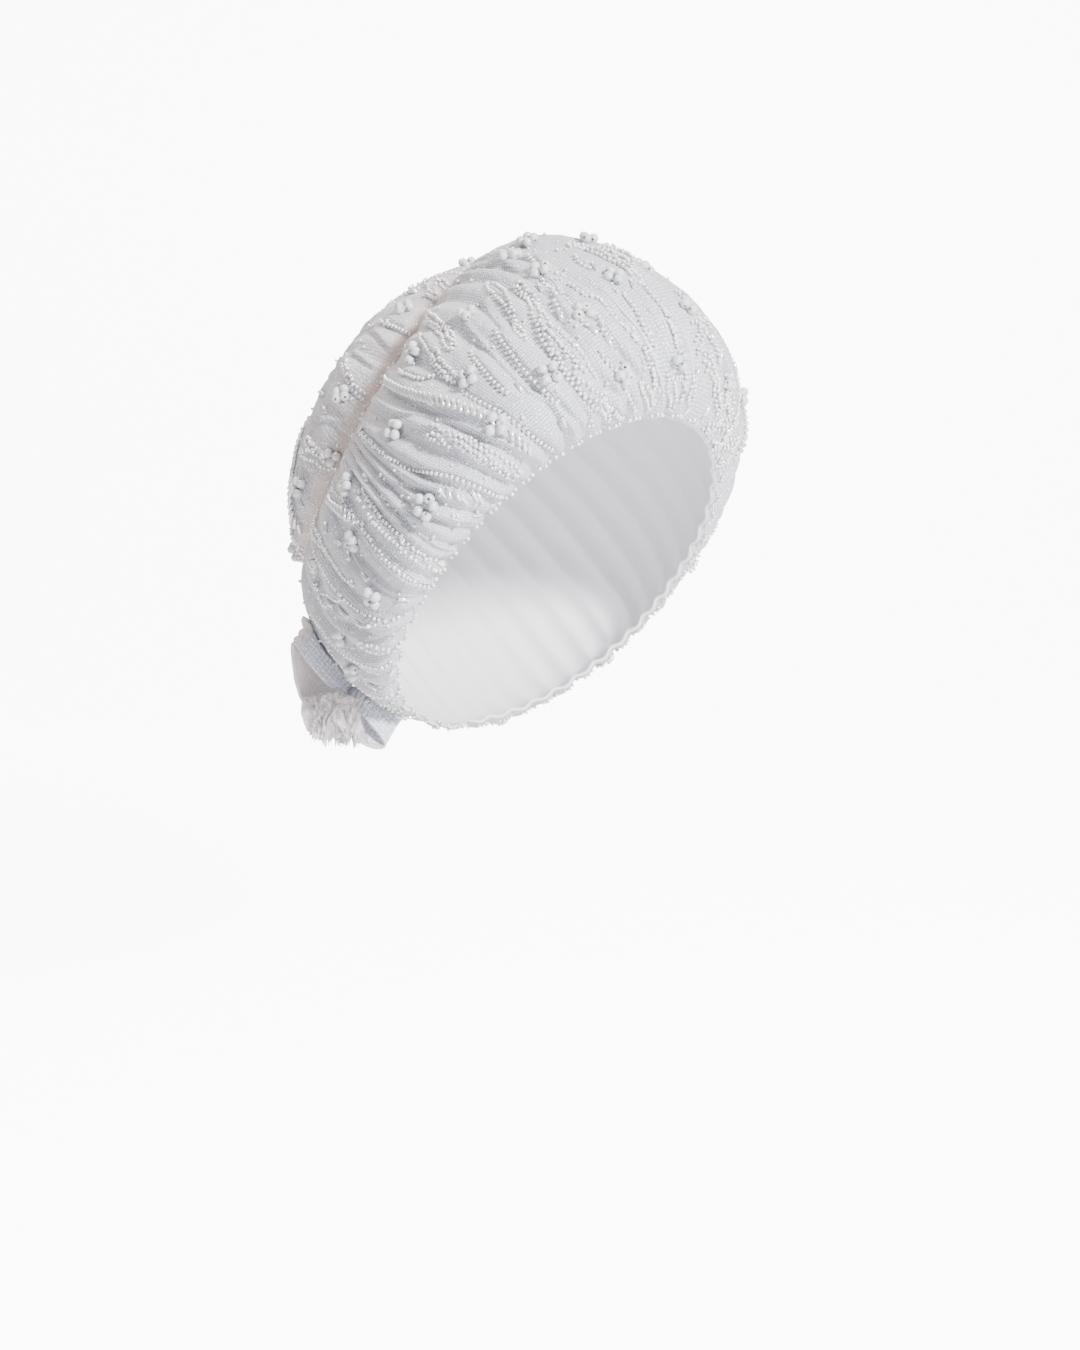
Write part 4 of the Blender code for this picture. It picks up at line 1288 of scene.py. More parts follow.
def weave_map(points: Array) -> Array:
    """Coordinates along a cloth in metres: round it and up it. The third is 0, and a face painted lighter
    inside the cap has 1 there.

    Args:
        points: The cloth's points, columns by levels.

    Returns:
        The coordinates, columns by levels by 3.
    """
    middle = points.shape[1] // 2
    around = np.linalg.norm(np.roll(points[:, middle], -1, axis=0) - points[:, middle], axis=-1)
    rise = np.linalg.norm(np.diff(points, axis=1), axis=-1).mean(axis=0)
    x = np.concatenate([[0.0], np.cumsum(around)[:-1]])
    y = np.concatenate([[0.0], np.cumsum(rise)])
    return np.stack([*np.meshgrid(x, y, indexing="ij"), np.zeros(points.shape[:2])], axis=-1)


@dataclass
class Band:
    """The band's cloth wall, in a finer front piece and a back piece that meet in two valleys."""

    finishes: Finishes
    camera: PhotoCamera
    rng: np.random.Generator
    shown_columns: int = 28
    hidden_columns: int = 11
    levels: int = 120
    # Painted warm shade and reflected light along the seam crease: its strength, width and sharpness; warm is
    # a slight warm cast over the whole outer face.
    crease_shade: float = 0.85
    crease_shade_wide: float = 0.085
    crease_shade_power: float = 1.5
    warm: float = 0.06

    def build(self) -> None:
        """Sews the rows and makes the cloth."""
        self.cloth = BandCloth()
        self.cloth.prepare()
        self.cloth.sew_shown(self.camera, BAND_ROWS)
        self.cloth.sew_edge()
        self.shown = len(self.cloth.rows)
        self.cloth.sew_hidden(self.rng)
        last, end = len(self.cloth.table) - 0.5, self.cloth.pleats - 0.5
        front = np.linspace(-0.5, last, int((last + 0.5) * self.shown_columns) + 1)
        back = np.linspace(last, end, int((end - last) * self.hidden_columns) + 1)
        faces = [self.piece("band_cloth_front", front, (0.42, 0.11)),
                 self.piece("band_cloth_back", back, (0.50, 0.135))]
        self.tree = search_tree(np.concatenate([faces[0][:-1], faces[1][:-1]]))

    def piece(self, name: str, columns: Array, flat: tuple[float, float]) -> Array:
        """Makes one closed piece of the wall.

        Args:
            name: The piece's name.
            columns: Where its columns lie, counted in pleats.
            flat: Width and length of its cloth before it was gathered; not used.

        Returns:
            Its outer face, columns by levels.
        """
        wall = ClothPiece(self.cloth, columns, np.linspace(0, 1, self.levels))
        outer, inner = wall.outer(), wall.inner()
        roll = self.rolled(outer[:, 0], inner[:, 0], outer[:, 1])
        sheet = np.concatenate([inner[:, ::-1], roll, outer], axis=1)
        index = np.arange(sheet[..., 0].size).reshape(sheet.shape[:2])
        ring = np.concatenate([index, index[:, :1]], axis=1)
        faces = grid_faces(ring, False) + [tuple(index[0].tolist()), tuple(index[-1, ::-1].tolist())]
        shape = Shape()
        shape.add(sheet, faces)
        tint = np.zeros(sheet.shape[:2])
        from_seam = 1 - np.linspace(0, 1, self.levels)
        near = np.exp(-(from_seam / self.crease_shade_wide) ** self.crease_shade_power)
        # Painted warm shade and reflected light, strongest along the seam crease.
        tint[:, -self.levels:] = self.crease_shade * near + self.warm
        weave = weave_map(sheet)
        # Marks the inner face and the rolled edge for the painted lighter colour.
        weave[:, :-self.levels, 2] = 1.0
        item = shape.mesh(name, self.finishes.cloth, weave.reshape(-1, 3), tint)
        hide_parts("band")
        return outer

    @staticmethod
    def rolled(outer: Array, inner: Array, above: Array, steps: int = 4) -> Array:
        """Points of the edge rolled from the inner face to the outer face.

        Args:
            outer: The outer face's edge.
            inner: The inner face's edge.
            above: The outer face's next line.
            steps: Lines in the roll.

        Returns:
            The lines of the roll, columns by steps.
        """
        middle, half = (outer + inner) / 2, (outer - inner) / 2
        down = unit(outer - above) * np.linalg.norm(half, axis=-1, keepdims=True)
        turns = np.pi * np.arange(1, steps + 1) / (steps + 1)
        return np.stack([middle - half * math.cos(t) + down * math.sin(t) for t in turns], axis=1)


@dataclass
class Tip:
    """The tip's cloth wall."""

    finishes: Finishes
    camera: PhotoCamera
    rng: np.random.Generator
    columns: int = 560
    levels: int = 72
    # Painted warm shade and reflected light along the seam crease: its strength, width and sharpness; warm is
    # a painted warm cast over the whole tip, for warm light from above.
    crease_shade: float = 0.75
    crease_shade_wide: float = 0.12
    crease_shade_power: float = 1.5
    warm: float = 0.16
    level_power: float = 0.9
    last_level: float = 0.985

    def build(self) -> None:
        """Sews the rows and makes the cloth."""
        self.cloth = TipCloth("tip")
        self.cloth.prepare()
        self.cloth.sew_shown(self.camera, TIP_ROWS)
        self.shown = len(self.cloth.rows)
        self.cloth.sew_hidden(self.rng)
        columns = np.linspace(0, self.cloth.pleats, self.columns, endpoint=False)
        levels = np.linspace(0, 1, self.levels) ** self.level_power * self.last_level
        piece = ClothPiece(self.cloth, columns, levels)
        outer, inner = piece.outer(), piece.inner()
        self.tree = search_tree(outer)
        sheet = np.concatenate([inner[:, ::-1], outer], axis=1)
        index = np.arange(sheet[..., 0].size).reshape(sheet.shape[:2])
        pole = outer[:, -1].mean(axis=0)
        under = inner[:, -1].mean(axis=0)
        faces = grid_faces(index) + fan(index[:, -1], index.size) + fan(index[::-1, 0], index.size + 1)
        shape = Shape()
        shape.add(np.concatenate([sheet.reshape(-1, 3), [pole, under]]), faces)
        weave = weave_map(sheet)
        # Marks the inner face for the painted lighter colour.
        weave[:, :-self.levels, 2] = 1.0
        weave = np.concatenate([weave.reshape(-1, 3), [(0.0, 0.0, 0.0), (0.0, 0.0, 1.0)]])
        tint = np.zeros(sheet.shape[:2])
        near = np.exp(-(levels / self.crease_shade_wide) ** self.crease_shade_power)
        # Painted warm shade along the seam crease, over a painted warm cast from above on the whole tip.
        tint[:, -self.levels:] = self.crease_shade * near + self.warm
        tint = np.concatenate([tint.ravel(), [self.warm, 0.0]])
        item = shape.mesh("tip_cloth", self.finishes.cloth, weave, tint)
        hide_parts("tip")


@dataclass
class BeadWork:
    """The beads sewn on one cloth."""

    cloth: PleatedCloth
    tree: BVHTree
    finishes: Finishes
    rng: np.random.Generator
    seed_radius: float = 1.0 * MM
    seed_pitch: float = 2.4 * MM
    seed_sunk: float = 0.85
    seed_long: float = 0.84
    seed_start: float = 0.3 * MM
    seed_jitter: float = 0.12
    seed_sizes: Span = (0.88, 1.1)
    hole_shade_share: float = 0.45
    single_size: float = 0.82
    single_sunk: float = 0.6
    single_up: Span = (0.05, 0.97)
    bugle_half: float = 2.6 * MM
    bugle_radius: float = 0.95 * MM
    rope_pitch: float = 3.1 * MM
    rope_slant_deg: float = 46.0
    cord_radius: float = 0.5 * MM
    cord_sides: int = 6
    cord_step: float = 0.0016
    cord_end: float = 0.5 * MM
    cord_sunk: float = 0.35
    cord_thin: float = 0.35
    cord_taper: int = 6
    bugle_sunk: float = 0.9
    bugle_turn: float = 0.7
    rope_end: float = 1 * MM

    def hole_shade_tint(self, points: Array, copies: int) -> Array:
        """Painted shade in the hole of copies of a bead whose hole runs along x: full on the hole's axis."""
        off = np.linalg.norm(points[:, 1:], axis=-1)
        return np.tile(np.clip(1 - off / self.hole_shade_share, 0, 1), copies)

    def seat(self, points: Array, lift: float) -> tuple[Array, Array]:
        """Moves points to the cloth and off it by lift, with the cloth's directions there."""
        places, normals = [], []
        for point in points:
            near, normal, _, _ = self.tree.find_nearest(Vector(point))
            places.append(near + normal * lift)
            normals.append(normal)
        return np.array(places), np.array(normals)

    def seeds(self, rows: Sequence[SewnRow], name: str) -> None:
        """Sews the seed beads of some rows as one piece."""
        shape = Shape()
        points, faces = seed_shape()
        for row in rows:
            style = STYLES[row.kind]
            for line in range(style.lines):
                offset = ((line - (style.lines - 1) / 2) * style.spread - style.shift) * MM
                start = self.seed_pitch * (0.5 if line % 2 else 0.0) + self.seed_start
                distances = np.arange(start, row.length, self.seed_pitch)
                jitter = self.rng.uniform(-self.seed_jitter, self.seed_jitter, len(distances))
                distances = distances + jitter * MM
                place, normal, along = row.at(distances)
                across = np.cross(normal, along)
                drift = offset + self.rng.uniform(-1, 1, len(distances)) * style.wander * MM
                place, normal = self.seat(place + across * drift[:, None], self.seed_radius * self.seed_sunk)
                self.scatter_beads(shape, points, faces, place, normal, along, self.seed_radius)
        if shape.count:
            tint = self.hole_shade_tint(points, shape.count // len(points))
            item = shape.mesh(name, self.finishes.seed, tint=tint)

    def strewn(self, count: int, span: Span, name: str) -> None:
        """Sews single seed beads here and there.

        Args:
            count: How many.
            span: Between which pleats.
            name: The piece's name.
        """
        shape = Shape()
        points, faces = seed_shape()
        u, up = self.rng.uniform(*span, count), self.rng.uniform(*self.single_up, count)
        place, _ = self.cloth.pleated(u, up * self.cloth.top)
        place, normal = self.seat(place, self.seed_radius * self.single_sunk)
        along = unit(np.cross(normal, self.rng.uniform(-1, 1, (count, 3))))
        self.scatter_beads(shape, points, faces, place, normal, along, self.seed_radius * self.single_size)
        item = shape.mesh(name, self.finishes.seed, tint=self.hole_shade_tint(points, count))

    def scatter_beads(self, shape: Shape, points: Array, faces: list, place: Array,
                      normal: Array, along: Array, radius: float) -> None:
        """Adds beads whose holes lie along the row."""
        x = unit(along - normal * (along * normal).sum(axis=-1, keepdims=True))
        y = np.cross(normal, x)
        size = radius * self.rng.uniform(*self.seed_sizes, (len(place), 1, 1))
        axes = np.stack([x * self.seed_long, y, normal], axis=1) * size
        shape.scatter(points, faces, place, axes)

    def bugle_shape(self) -> tuple[Array, list]:
        """A bugle of length two and radius one along x, with a hole in each end."""
        end = [(-0.93, 0.0), (-0.93, 0.45), (-1.0, 0.5), (-1.0, 0.85), (-0.95, 1.0)]
        return lathe(end + [(-along, radius) for along, radius in end[::-1]], 7)

    def add_bugles(self, shape: Shape, place: Array, way: Array, normal: Array) -> None:
        """Adds bugles that lie on the cloth along their ways."""
        points, faces = self.bugle_shape()
        x = unit(way - normal * (way * normal).sum(axis=-1, keepdims=True))
        y = np.cross(normal, x)
        axes = np.stack([x * self.bugle_half, y * self.bugle_radius, normal * self.bugle_radius], axis=1)
        shape.scatter(points, faces, place, axes)

    def ropes(self, rows: Sequence[SewnRow], name: str) -> None:
        """Sews the bugles that lie aslant along some rows."""
        shape = Shape()
        for row in rows:
            if row.kind is not RowKind.ROPE:
                continue
            distances = np.arange(self.rope_end, row.length - self.rope_end, self.rope_pitch)
            place, normal, along = row.at(distances)
            place, normal = self.seat(place, self.bugle_radius * self.bugle_sunk)
            across = np.cross(normal, along)
            slant = math.radians(self.rope_slant_deg)
            self.add_bugles(shape, place, along * math.cos(slant) - across * math.sin(slant), normal)
        if shape.count:
            item = shape.mesh(name, self.finishes.bugle)

    def cords(self, rows: Sequence[SewnRow], name: str) -> None:
        """Sews the satin cords of some rows."""
        shape = Shape()
        for row in rows:
            if row.kind is not RowKind.CORD:
                continue
            count = max(6, int(row.length / self.cord_step))
            place, normal, _ = row.at(np.linspace(self.cord_end, row.length - self.cord_end, count))
            place, normal = self.seat(place, self.cord_radius * self.cord_sunk)
            for _ in range(2):
                place[1:-1] = (place[:-2] + 2 * place[1:-1] + place[2:]) / 4
            tube(shape, place, normal, self.taper(len(place)) * self.cord_radius, self.cord_sides)
        if shape.count:
            item = shape.mesh(name, self.finishes.cord)

    def taper(self, count: int) -> Array:
        """Shares of the full radius along a cord whose ends thin out."""
        ends = np.minimum(np.arange(count), np.arange(count)[::-1])
        return np.clip(self.cord_thin + ends / self.cord_taper, 0, 1)

    def lone_bugles(self, places: Array, name: str) -> None:
        """Sews single bugles near the places given as u and up."""
        shape = Shape()
        ups = np.clip(places[:, 1], 0.03, self.cloth.top)
        points, normals = self.cloth.pleated(places[:, 0], ups)
        ahead, _ = self.cloth.pleated(places[:, 0], ups - 0.02)
        way = unit(ahead - points)
        turn = self.rng.uniform(-self.bugle_turn, self.bugle_turn, (len(places), 1))
        way = way * np.cos(turn) + np.cross(normals, way) * np.sin(turn)
        place, normal = self.seat(points, self.bugle_radius * self.bugle_sunk)
        self.add_bugles(shape, place, way, normal)
        item = shape.mesh(name, self.finishes.bugle)


def tube(shape: Shape, line: Array, normal: Array, radius: Array, sides: int) -> None:
    """Adds a round tube along a line, closed at its ends.

    Args:
        shape: Where the tube goes.
        line: Its centreline.
        normal: A direction off the line at each point.
        radius: Its radius at each point.
        sides: Its sides.
    """
    along = unit(np.gradient(line, axis=0))
    across = unit(np.cross(normal, along))
    up = np.cross(along, across)
    turn = 2 * np.pi * np.arange(sides)[:, None, None] / sides
    ring = np.cos(turn) * across + np.sin(turn) * up
    points = line + ring * radius[:, None]
    index = np.arange(sides * len(line)).reshape(sides, len(line))
    ends = [tuple(index[::-1, 0].tolist()), tuple(index[:, -1].tolist())]
    shape.add(points, grid_faces(index[::-1]) + [end[::-1] for end in ends])


@dataclass
class PearlClusters:
    """The clusters of pearls sewn on band and tip."""

    band: Band
    tip: Tip
    finishes: Finishes
    rng: np.random.Generator
    radius: float = 2.3 * MM
    apart: float = 4.3 * MM
    hole: float = 0.3
    inner_hole: float = 0.8
    hole_deep: float = 0.6
    sides: int = 14
    rings: int = 9
    flat: float = 0.92
    sunk: float = 0.86
    sizes: Span = (0.94, 1.05)
    lift: Span = (-0.3, 0.9)
    ups: tuple[float, ...] = (0.25, 0.62, 0.42, 0.78)

    def bead_shape(self) -> tuple[Array, list]:
        """A pearl of radius one with a small hole along x."""
        edge = math.degrees(math.acos(self.hole))
        lifts = np.radians(np.linspace(-edge, edge, self.rings))
        depth, hole = math.sin(lifts[-1]) - self.hole_deep, self.hole * self.inner_hole
        return lathe([(-depth, 0.0), (-depth, hole), *arc(lifts), (depth, hole), (depth, 0.0)], self.sides)

    def ring(self, cluster: Cluster) -> Array:
        """Where a cluster's beads go, on the plain face of the cloth."""
        cloth = self.band.cloth if cluster.on == "band" else self.tip.cloth
        u = np.array([cloth.place(cluster.around_deg, cluster.up)])
        centre, normal = cloth.base(u, np.array([cluster.up]))
        local = FORM.worn @ normal[0]
        spin = Matrix.Rotation(math.radians(cluster.turn_deg), 3, "Z")
        facing = Vector((0, 0, 1)).rotation_difference(Vector(local)).to_matrix() @ spin
        ring = self.apart / (2 * math.sin(math.pi / cluster.beads))
        turns = [2 * math.pi * i / cluster.beads for i in range(cluster.beads)]
        offsets = np.array([facing @ Vector((ring * math.cos(t), ring * math.sin(t), 0.0)) for t in turns])
        return centre[0] + offsets @ FORM.worn + normal[0] * self.radius

    def build(self) -> None:
        """Makes all clusters as one piece to a cloth."""
        self.piece("pearls_band", "band", self.hidden(HIDDEN_CLUSTERS_BAND, "band"))
        self.piece("pearls_tip", "tip", self.hidden(HIDDEN_CLUSTERS_TIP, "tip"))

    def hidden(self, count: int, on: str) -> list[Cluster]:
        """Clusters on the part that doesn't show."""
        clusters = []
        start, sweep, top = (2, 182, 0.8) if on == "band" else (330, 230, 0.6)
        for i in range(count):
            around = start + sweep * ((i + 0.5) / count)
            up = self.ups[i % len(self.ups)] * top / 0.8 + self.rng.uniform(-0.05, 0.05)
            clusters.append(Cluster(on, around, up, 3 + i % 3, float(self.rng.uniform(0, 90))))
        return clusters

    def piece(self, name: str, on: str, hidden: list[Cluster]) -> None:
        """Makes the pearls of one cloth."""
        tree = self.band.tree if on == "band" else self.tip.tree
        shape = Shape()
        points, faces = self.bead_shape()
        rows = [row for row in NODE_CLUSTERS + MORE_CLUSTERS if row.on == on]
        for cluster in rows + hidden:
            for point in self.ring(cluster):
                near, normal, _, _ = tree.find_nearest(Vector(point))
                normal = np.array(normal)
                tilt = self.rng.uniform(-1, 1, 3)
                x = unit(unit(np.cross(normal, tilt)) * 0.9 + normal * self.rng.uniform(*self.lift))
                y = unit(np.cross(normal, x))
                z = np.cross(x, y)
                size = self.radius * self.rng.uniform(*self.sizes)
                axes = np.stack([x * self.flat, y, z])[None] * size
                shape.scatter(points, faces, (np.array(near) + normal * self.radius * self.sunk)[None], axes)
        # Painted shade inside each pearl's hole.
        dark = np.linalg.norm(points[:, 1:], axis=-1) < self.hole * 0.9
        tint = np.tile(dark.astype(float), shape.count // len(points))
        item = shape.mesh(name, self.finishes.pearl, tint=tint)
        nodes = [row.node for row in rows if row.node]
        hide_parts(*nodes)


class LoopPoint(NamedTuple):
    """A point on a ribbon loop's near edge, in mm: to the right and up from the knot, how far the ribbon is
    opened out of its pinch, and how far it keeps off the band.
    """

    right: float
    up: float
    opened: float
    clear: float


@dataclass
class Bow:
    """The small bow: two ribbon loops, a wrapped knot and a frayed tuft."""

    band: Band
    finishes: Finishes
    rng: np.random.Generator
    thick: float = 1.6 * MM
    pinch_near: float = 0.12
    pinch_far: float = 0.55
    along_steps: int = 170
    across_steps: int = 64
    folds: float = 4.5
    fold_start: float = 0.6
    fold_high: float = 0.9 * MM
    slack_rates: tuple[float, float] = (0.09, 0.05)
    slack_high: float = 0.7 * MM
    selvedge: float = 0.03
    thin_share: float = 0.55
    sheer_fade: float = 0.02
    tint: float = 0.05
    knot_half: tuple[float, float, float] = (4.3 * MM, 9.5 * MM, 5.4 * MM)
    knot_way: tuple[float, float, float] = (-0.66, 0.0, 0.75)
    knot_sides: int = 72
    knot_rings: int = 40
    cover_levels: tuple[float, ...] = (0.0, 0.05, 0.14, 0.27, 0.43, 0.6, 0.76, 0.9, 1.0)
    tuft_strips: int = 13
    strip_levels: int = 22
    strip_columns: int = 9
    strip_thick: float = 0.35 * MM
    strip_tint: float = 0.15
    strip_rough: float = 3.0 * MM
    frays_each: int = 6
    fray_radius: float = 0.13 * MM
    place: Array = field(default_factory=lambda: np.array([-101.0, -10.0, -57.5]) * MM)
    across: Array = field(default_factory=lambda: np.array([12.0, 30.0, 17.0]) * MM)

    upper = (
        LoopPoint(-4.5, 3.0, 0.55, 2.0), LoopPoint(-10.5, 9.0, 0.75, 1.9), LoopPoint(-17.5, 17.5, 0.85, 1.9),
        LoopPoint(-24.0, 26.0, 0.7, 1.9), LoopPoint(-27.0, 29.0, 0.5, 2.4), LoopPoint(-28.0, 26.5, 0.6, 4.0),
        LoopPoint(-26.5, 19.0, 1.0, 7.0), LoopPoint(-25.0, 8.0, 0.95, 8.5), LoopPoint(-21.5, -0.5, 0.8, 9.5),
        LoopPoint(-14.0, -2.5, 0.5, 9.0), LoopPoint(-8.0, 0.0, 0.15, 6.0),
    )
    lower = (
        LoopPoint(2.8, -3.6, 0.5, 1.8), LoopPoint(8.5, -9.0, 0.85, 1.6), LoopPoint(13.5, -14.5, 0.95, 1.6),
        LoopPoint(16.0, -19.0, 1.0, 2.5), LoopPoint(14.0, -21.0, 1.0, 4.5), LoopPoint(8.0, -20.0, 1.0, 6.5),
        LoopPoint(2.5, -16.5, 0.7, 8.0), LoopPoint(0.0, -9.5, 0.15, 5.5),
    )

    def cover(self) -> BVHTree:
        """A search tree that touches the crests of the band's pleats."""
        cloth = self.band.cloth
        u, up = np.meshgrid(np.arange(cloth.pleats, dtype=float), np.array(self.cover_levels), indexing="ij")
        return search_tree(cloth.pleated(u, up)[0])

    def build(self) -> None:
        """Makes the pieces of the bow."""
        cover = self.cover()
        self.loop("bow_loop_upper_ribbon", self.upper, "bow_loop_upper", cover, (0.27, 0.75))
        self.loop("bow_loop_lower_ribbon", self.lower, "bow_loop_lower", cover, (0.40, 0.15))
        self.knot()
        self.tuft()

    def loop(self, name: str, rows: Sequence[LoopPoint], node: str, cover: BVHTree, sheer: Span) -> None:
        """Makes one ribbon loop.

        Args:
            name: The piece's name.
            rows: The points of its near edge.
            node: The solid that it replaces.
            cover: The crests of the band's pleats.
            sheer: Where round the loop its sheer side starts, as a share, and how strongly it is painted
                lighter and pinker there, standing in for light through the ribbon inside the shaded loop.
        """
        line = closed_line(np.array(rows), self.along_steps)
        shares = np.linspace(0, 1, self.across_steps)
        middle = np.empty((self.along_steps, self.across_steps, 3))
        for i, (right, up, opened, clear) in enumerate(line):
            near = self.pinch_near * (1 - opened)
            far = self.pinch_far + (1 - self.pinch_far) * opened
            start = self.place + np.array([right, 0.0, up]) * MM
            for j, share in enumerate(shares):
                point = Vector(start + (near + share * (far - near)) * self.across)
                at, normal, _, _ = cover.find_nearest(point)
                if (point - at).dot(normal) < clear * MM:
                    point = at + normal * clear * MM
                middle[i, j] = point
        for _ in range(3):
            middle = (np.roll(middle, 1, axis=0) + 2 * middle + np.roll(middle, -1, axis=0)) / 4
        onward = np.roll(middle, -1, axis=0) - np.roll(middle, 1, axis=0)
        stand = unit(np.cross(onward, np.gradient(middle, axis=1)))
        pinch = (1 - line[:, 2:3])[..., None]
        wave = np.sin(shares * 2 * np.pi * self.folds + self.fold_start)[None, :, None]
        fold = wave * pinch * self.fold_high
        rate_along, rate_across = self.slack_rates
        slack = np.array([[[noise.noise((i * rate_along, j * rate_across, 3.1))]
                           for j in range(self.across_steps)] for i in range(self.along_steps)])
        fade = np.sin(np.pi * np.arange(self.along_steps) / self.along_steps)[:, None, None]
        middle = middle + stand * (fold + slack * fade * self.slack_high)
        selvedge = np.exp(-(np.minimum(shares, 1 - shares) / self.selvedge) ** 2)[None, :, None]
        half = self.thick / 2 * (self.thin_share + (1 - self.thin_share) * selvedge)
        one, two = middle + stand * half, middle - stand * half
        shape = Shape()
        index = np.arange(one[..., 0].size).reshape(one.shape[:2])
        other = index + index.size
        faces = grid_faces(index) + [face[::-1] for face in grid_faces(other)]
        after, after_other = np.roll(index, -1, axis=0), np.roll(other, -1, axis=0)
        for a, b, c, d in zip(index[:, 0], other[:, 0], after_other[:, 0], after[:, 0]):
            faces.append((a, b, c, d))
        for a, b, c, d in zip(after[:, -1], after_other[:, -1], other[:, -1], index[:, -1]):
            faces.append((a, b, c, d))
        shape.add(np.concatenate([one.reshape(-1, 3), two.reshape(-1, 3)]), faces)
        weave = np.tile(weave_map(middle).reshape(-1, 3), (2, 1))
        # Painted light: the loop's far run is tinted lighter and pinker, for light through the ribbon inside
        # the shaded loop.
        share = np.arange(self.along_steps) / self.along_steps
        shown = np.clip((share - sheer[0]) / self.sheer_fade, 0, 1)
        tint = np.tile(np.repeat(self.tint + sheer[1] * shown, self.across_steps), 2)
        item = shape.mesh(name, self.finishes.ribbon, weave, tint)
        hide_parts(node)

    def knot(self) -> None:
        """Makes the wrapped knot over its solid's place."""
        low, high = (np.array(corner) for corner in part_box("bow_knot"))
        across = unit(self.across)
        along = np.array(self.knot_way)
        along = unit(along - across * along.dot(across))
        rise = np.cross(across, along)
        sides, rings = self.knot_sides, self.knot_rings
        half_along, half_across, half_rise = self.knot_half
        lift = np.pi * (np.arange(rings) + 0.5) / rings
        turn = 2 * np.pi * np.arange(sides) / sides
        t, r = np.meshgrid(turn, lift, indexing="ij")
        creases = 0.05 * np.cos(9 * r + 1.2 * np.sin(2 * t)) + 0.05 * np.cos(3 * t)
        wide = np.sin(r) ** 0.5 * (1 + creases)
        points = (along * (half_along * np.cos(r))[..., None]
                  + across * (half_across * wide * np.cos(t))[..., None]
                  + rise * (half_rise * wide * np.sin(t))[..., None]) + (low + high) / 2
        index = np.arange(sides * rings).reshape(sides, rings)
        faces = grid_faces(index) + [tuple(index[::-1, 0].tolist()), tuple(index[:, -1].tolist())]
        shape = Shape()
        shape.add(points, faces)
        item = shape.mesh("bow_wrap", self.finishes.ribbon, weave_map(points).reshape(-1, 3),
                          np.full(index.size, self.tint))
        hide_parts("bow_knot")

    def tuft(self) -> None:
        """Makes the frayed tuft: sheer strips with threads pulled out of their ends."""
        low, high = (np.array(corner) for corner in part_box("bow_tuft"))
        head = np.array([(low[0] + high[0]) / 2 + 0.8 * MM, (low[1] + high[1]) / 2, high[2] + 8.0 * MM])
        strips, threads = Shape(), Shape()
        weaves: list[Array] = []
        for number in range(self.tuft_strips):
            lean = -1 + 2 * ((number * 5) % self.tuft_strips) / (self.tuft_strips - 1)
            self.strip(strips, weaves, head, lean, number)
            self.frays(threads, head, lean)
        weave = np.concatenate(weaves)
        tint = np.full(len(weave), self.strip_tint)
        item = strips.mesh("bow_tuft_strips", self.finishes.sheer, weave, tint)
        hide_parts("bow_tuft")
        loose = threads.mesh("bow_tuft_threads", self.finishes.thread)

    @staticmethod
    def tuft_length(lean: float) -> float:
        """How far the tuft falls at a lean, in mm."""
        return 24.0 - (7.0 if lean < 0 else 2.0) * lean ** 2

    def strip_line(self, head: Array, lean: float, length: float, count: int) -> Array:
        """Centreline of one strip of the tuft."""
        drop = np.linspace(0, 1, count)
        side = 11.0 - 4.5 * drop if lean < 0 else 11.0 + 0.5 * drop
        x = head[0] + (lean * side - 2.5 * drop * (1 - lean) + 1.2 * np.sin(5 * drop + 9 * lean)) * MM
        y = head[1] + (0.9 * lean ** 2 + 1.3 * np.sin(7 * drop + 5 * lean) * (0.4 + drop)) * MM
        z = head[2] - (length * drop + 3.0 * abs(lean) + 0.8 * np.sin(8 * drop + 4 * lean) * drop) * MM
        return np.stack([x, y, z], axis=-1)

    def strip(self, shape: Shape, weaves: list, head: Array, lean: float, number: int) -> None:
        """Adds one ruffled strip."""
        count, wide = self.strip_levels, self.strip_columns
        length = self.tuft_length(lean) + self.rng.uniform(-2.5, 1.0)
        line = self.strip_line(head, lean, length, count)
        side = np.linspace(-1, 1, wide)
        drop = np.linspace(0, 1, count)
        half = (2.6 + 1.0 * np.sin(3 * drop + number)) * MM
        x = line[:, None, 0] + side[None, :] * half[:, None]
        crumple = [[noise.noise((number * 5.1 + 1.3 * s, 6.0 * d, 2.0)) for s in side] for d in drop]
        y = line[:, None, 1] + self.strip_rough * np.array(crumple)
        ragged = np.array([noise.noise((k * 1.7, number * 3.3, 0.5)) for k in range(wide)])
        z = line[:, None, 2] + ragged[None, :] * self.strip_rough * drop[:, None] ** 3
        front = np.stack([x, y, z + 0 * x], axis=-1)
        back = front + np.array([0.0, self.strip_thick, 0.0])
        index = np.arange(count * wide).reshape(count, wide)
        other = index + index.size
        faces = [face[::-1] for face in grid_faces(index, False)] + grid_faces(other, False)
        border = [*index[:, 0], *index[-1, 1:], *index[::-1, -1][1:], *index[0, ::-1][1:-1]]
        for a, b in zip(border, border[1:] + border[:1]):
            faces.append((int(b), int(a), int(a) + index.size, int(b) + index.size))
        shape.add(np.concatenate([front.reshape(-1, 3), back.reshape(-1, 3)]), faces)
        flat = np.stack([x, z + 0 * x, 0 * x], axis=-1).reshape(-1, 3)
        weaves += [flat, flat]

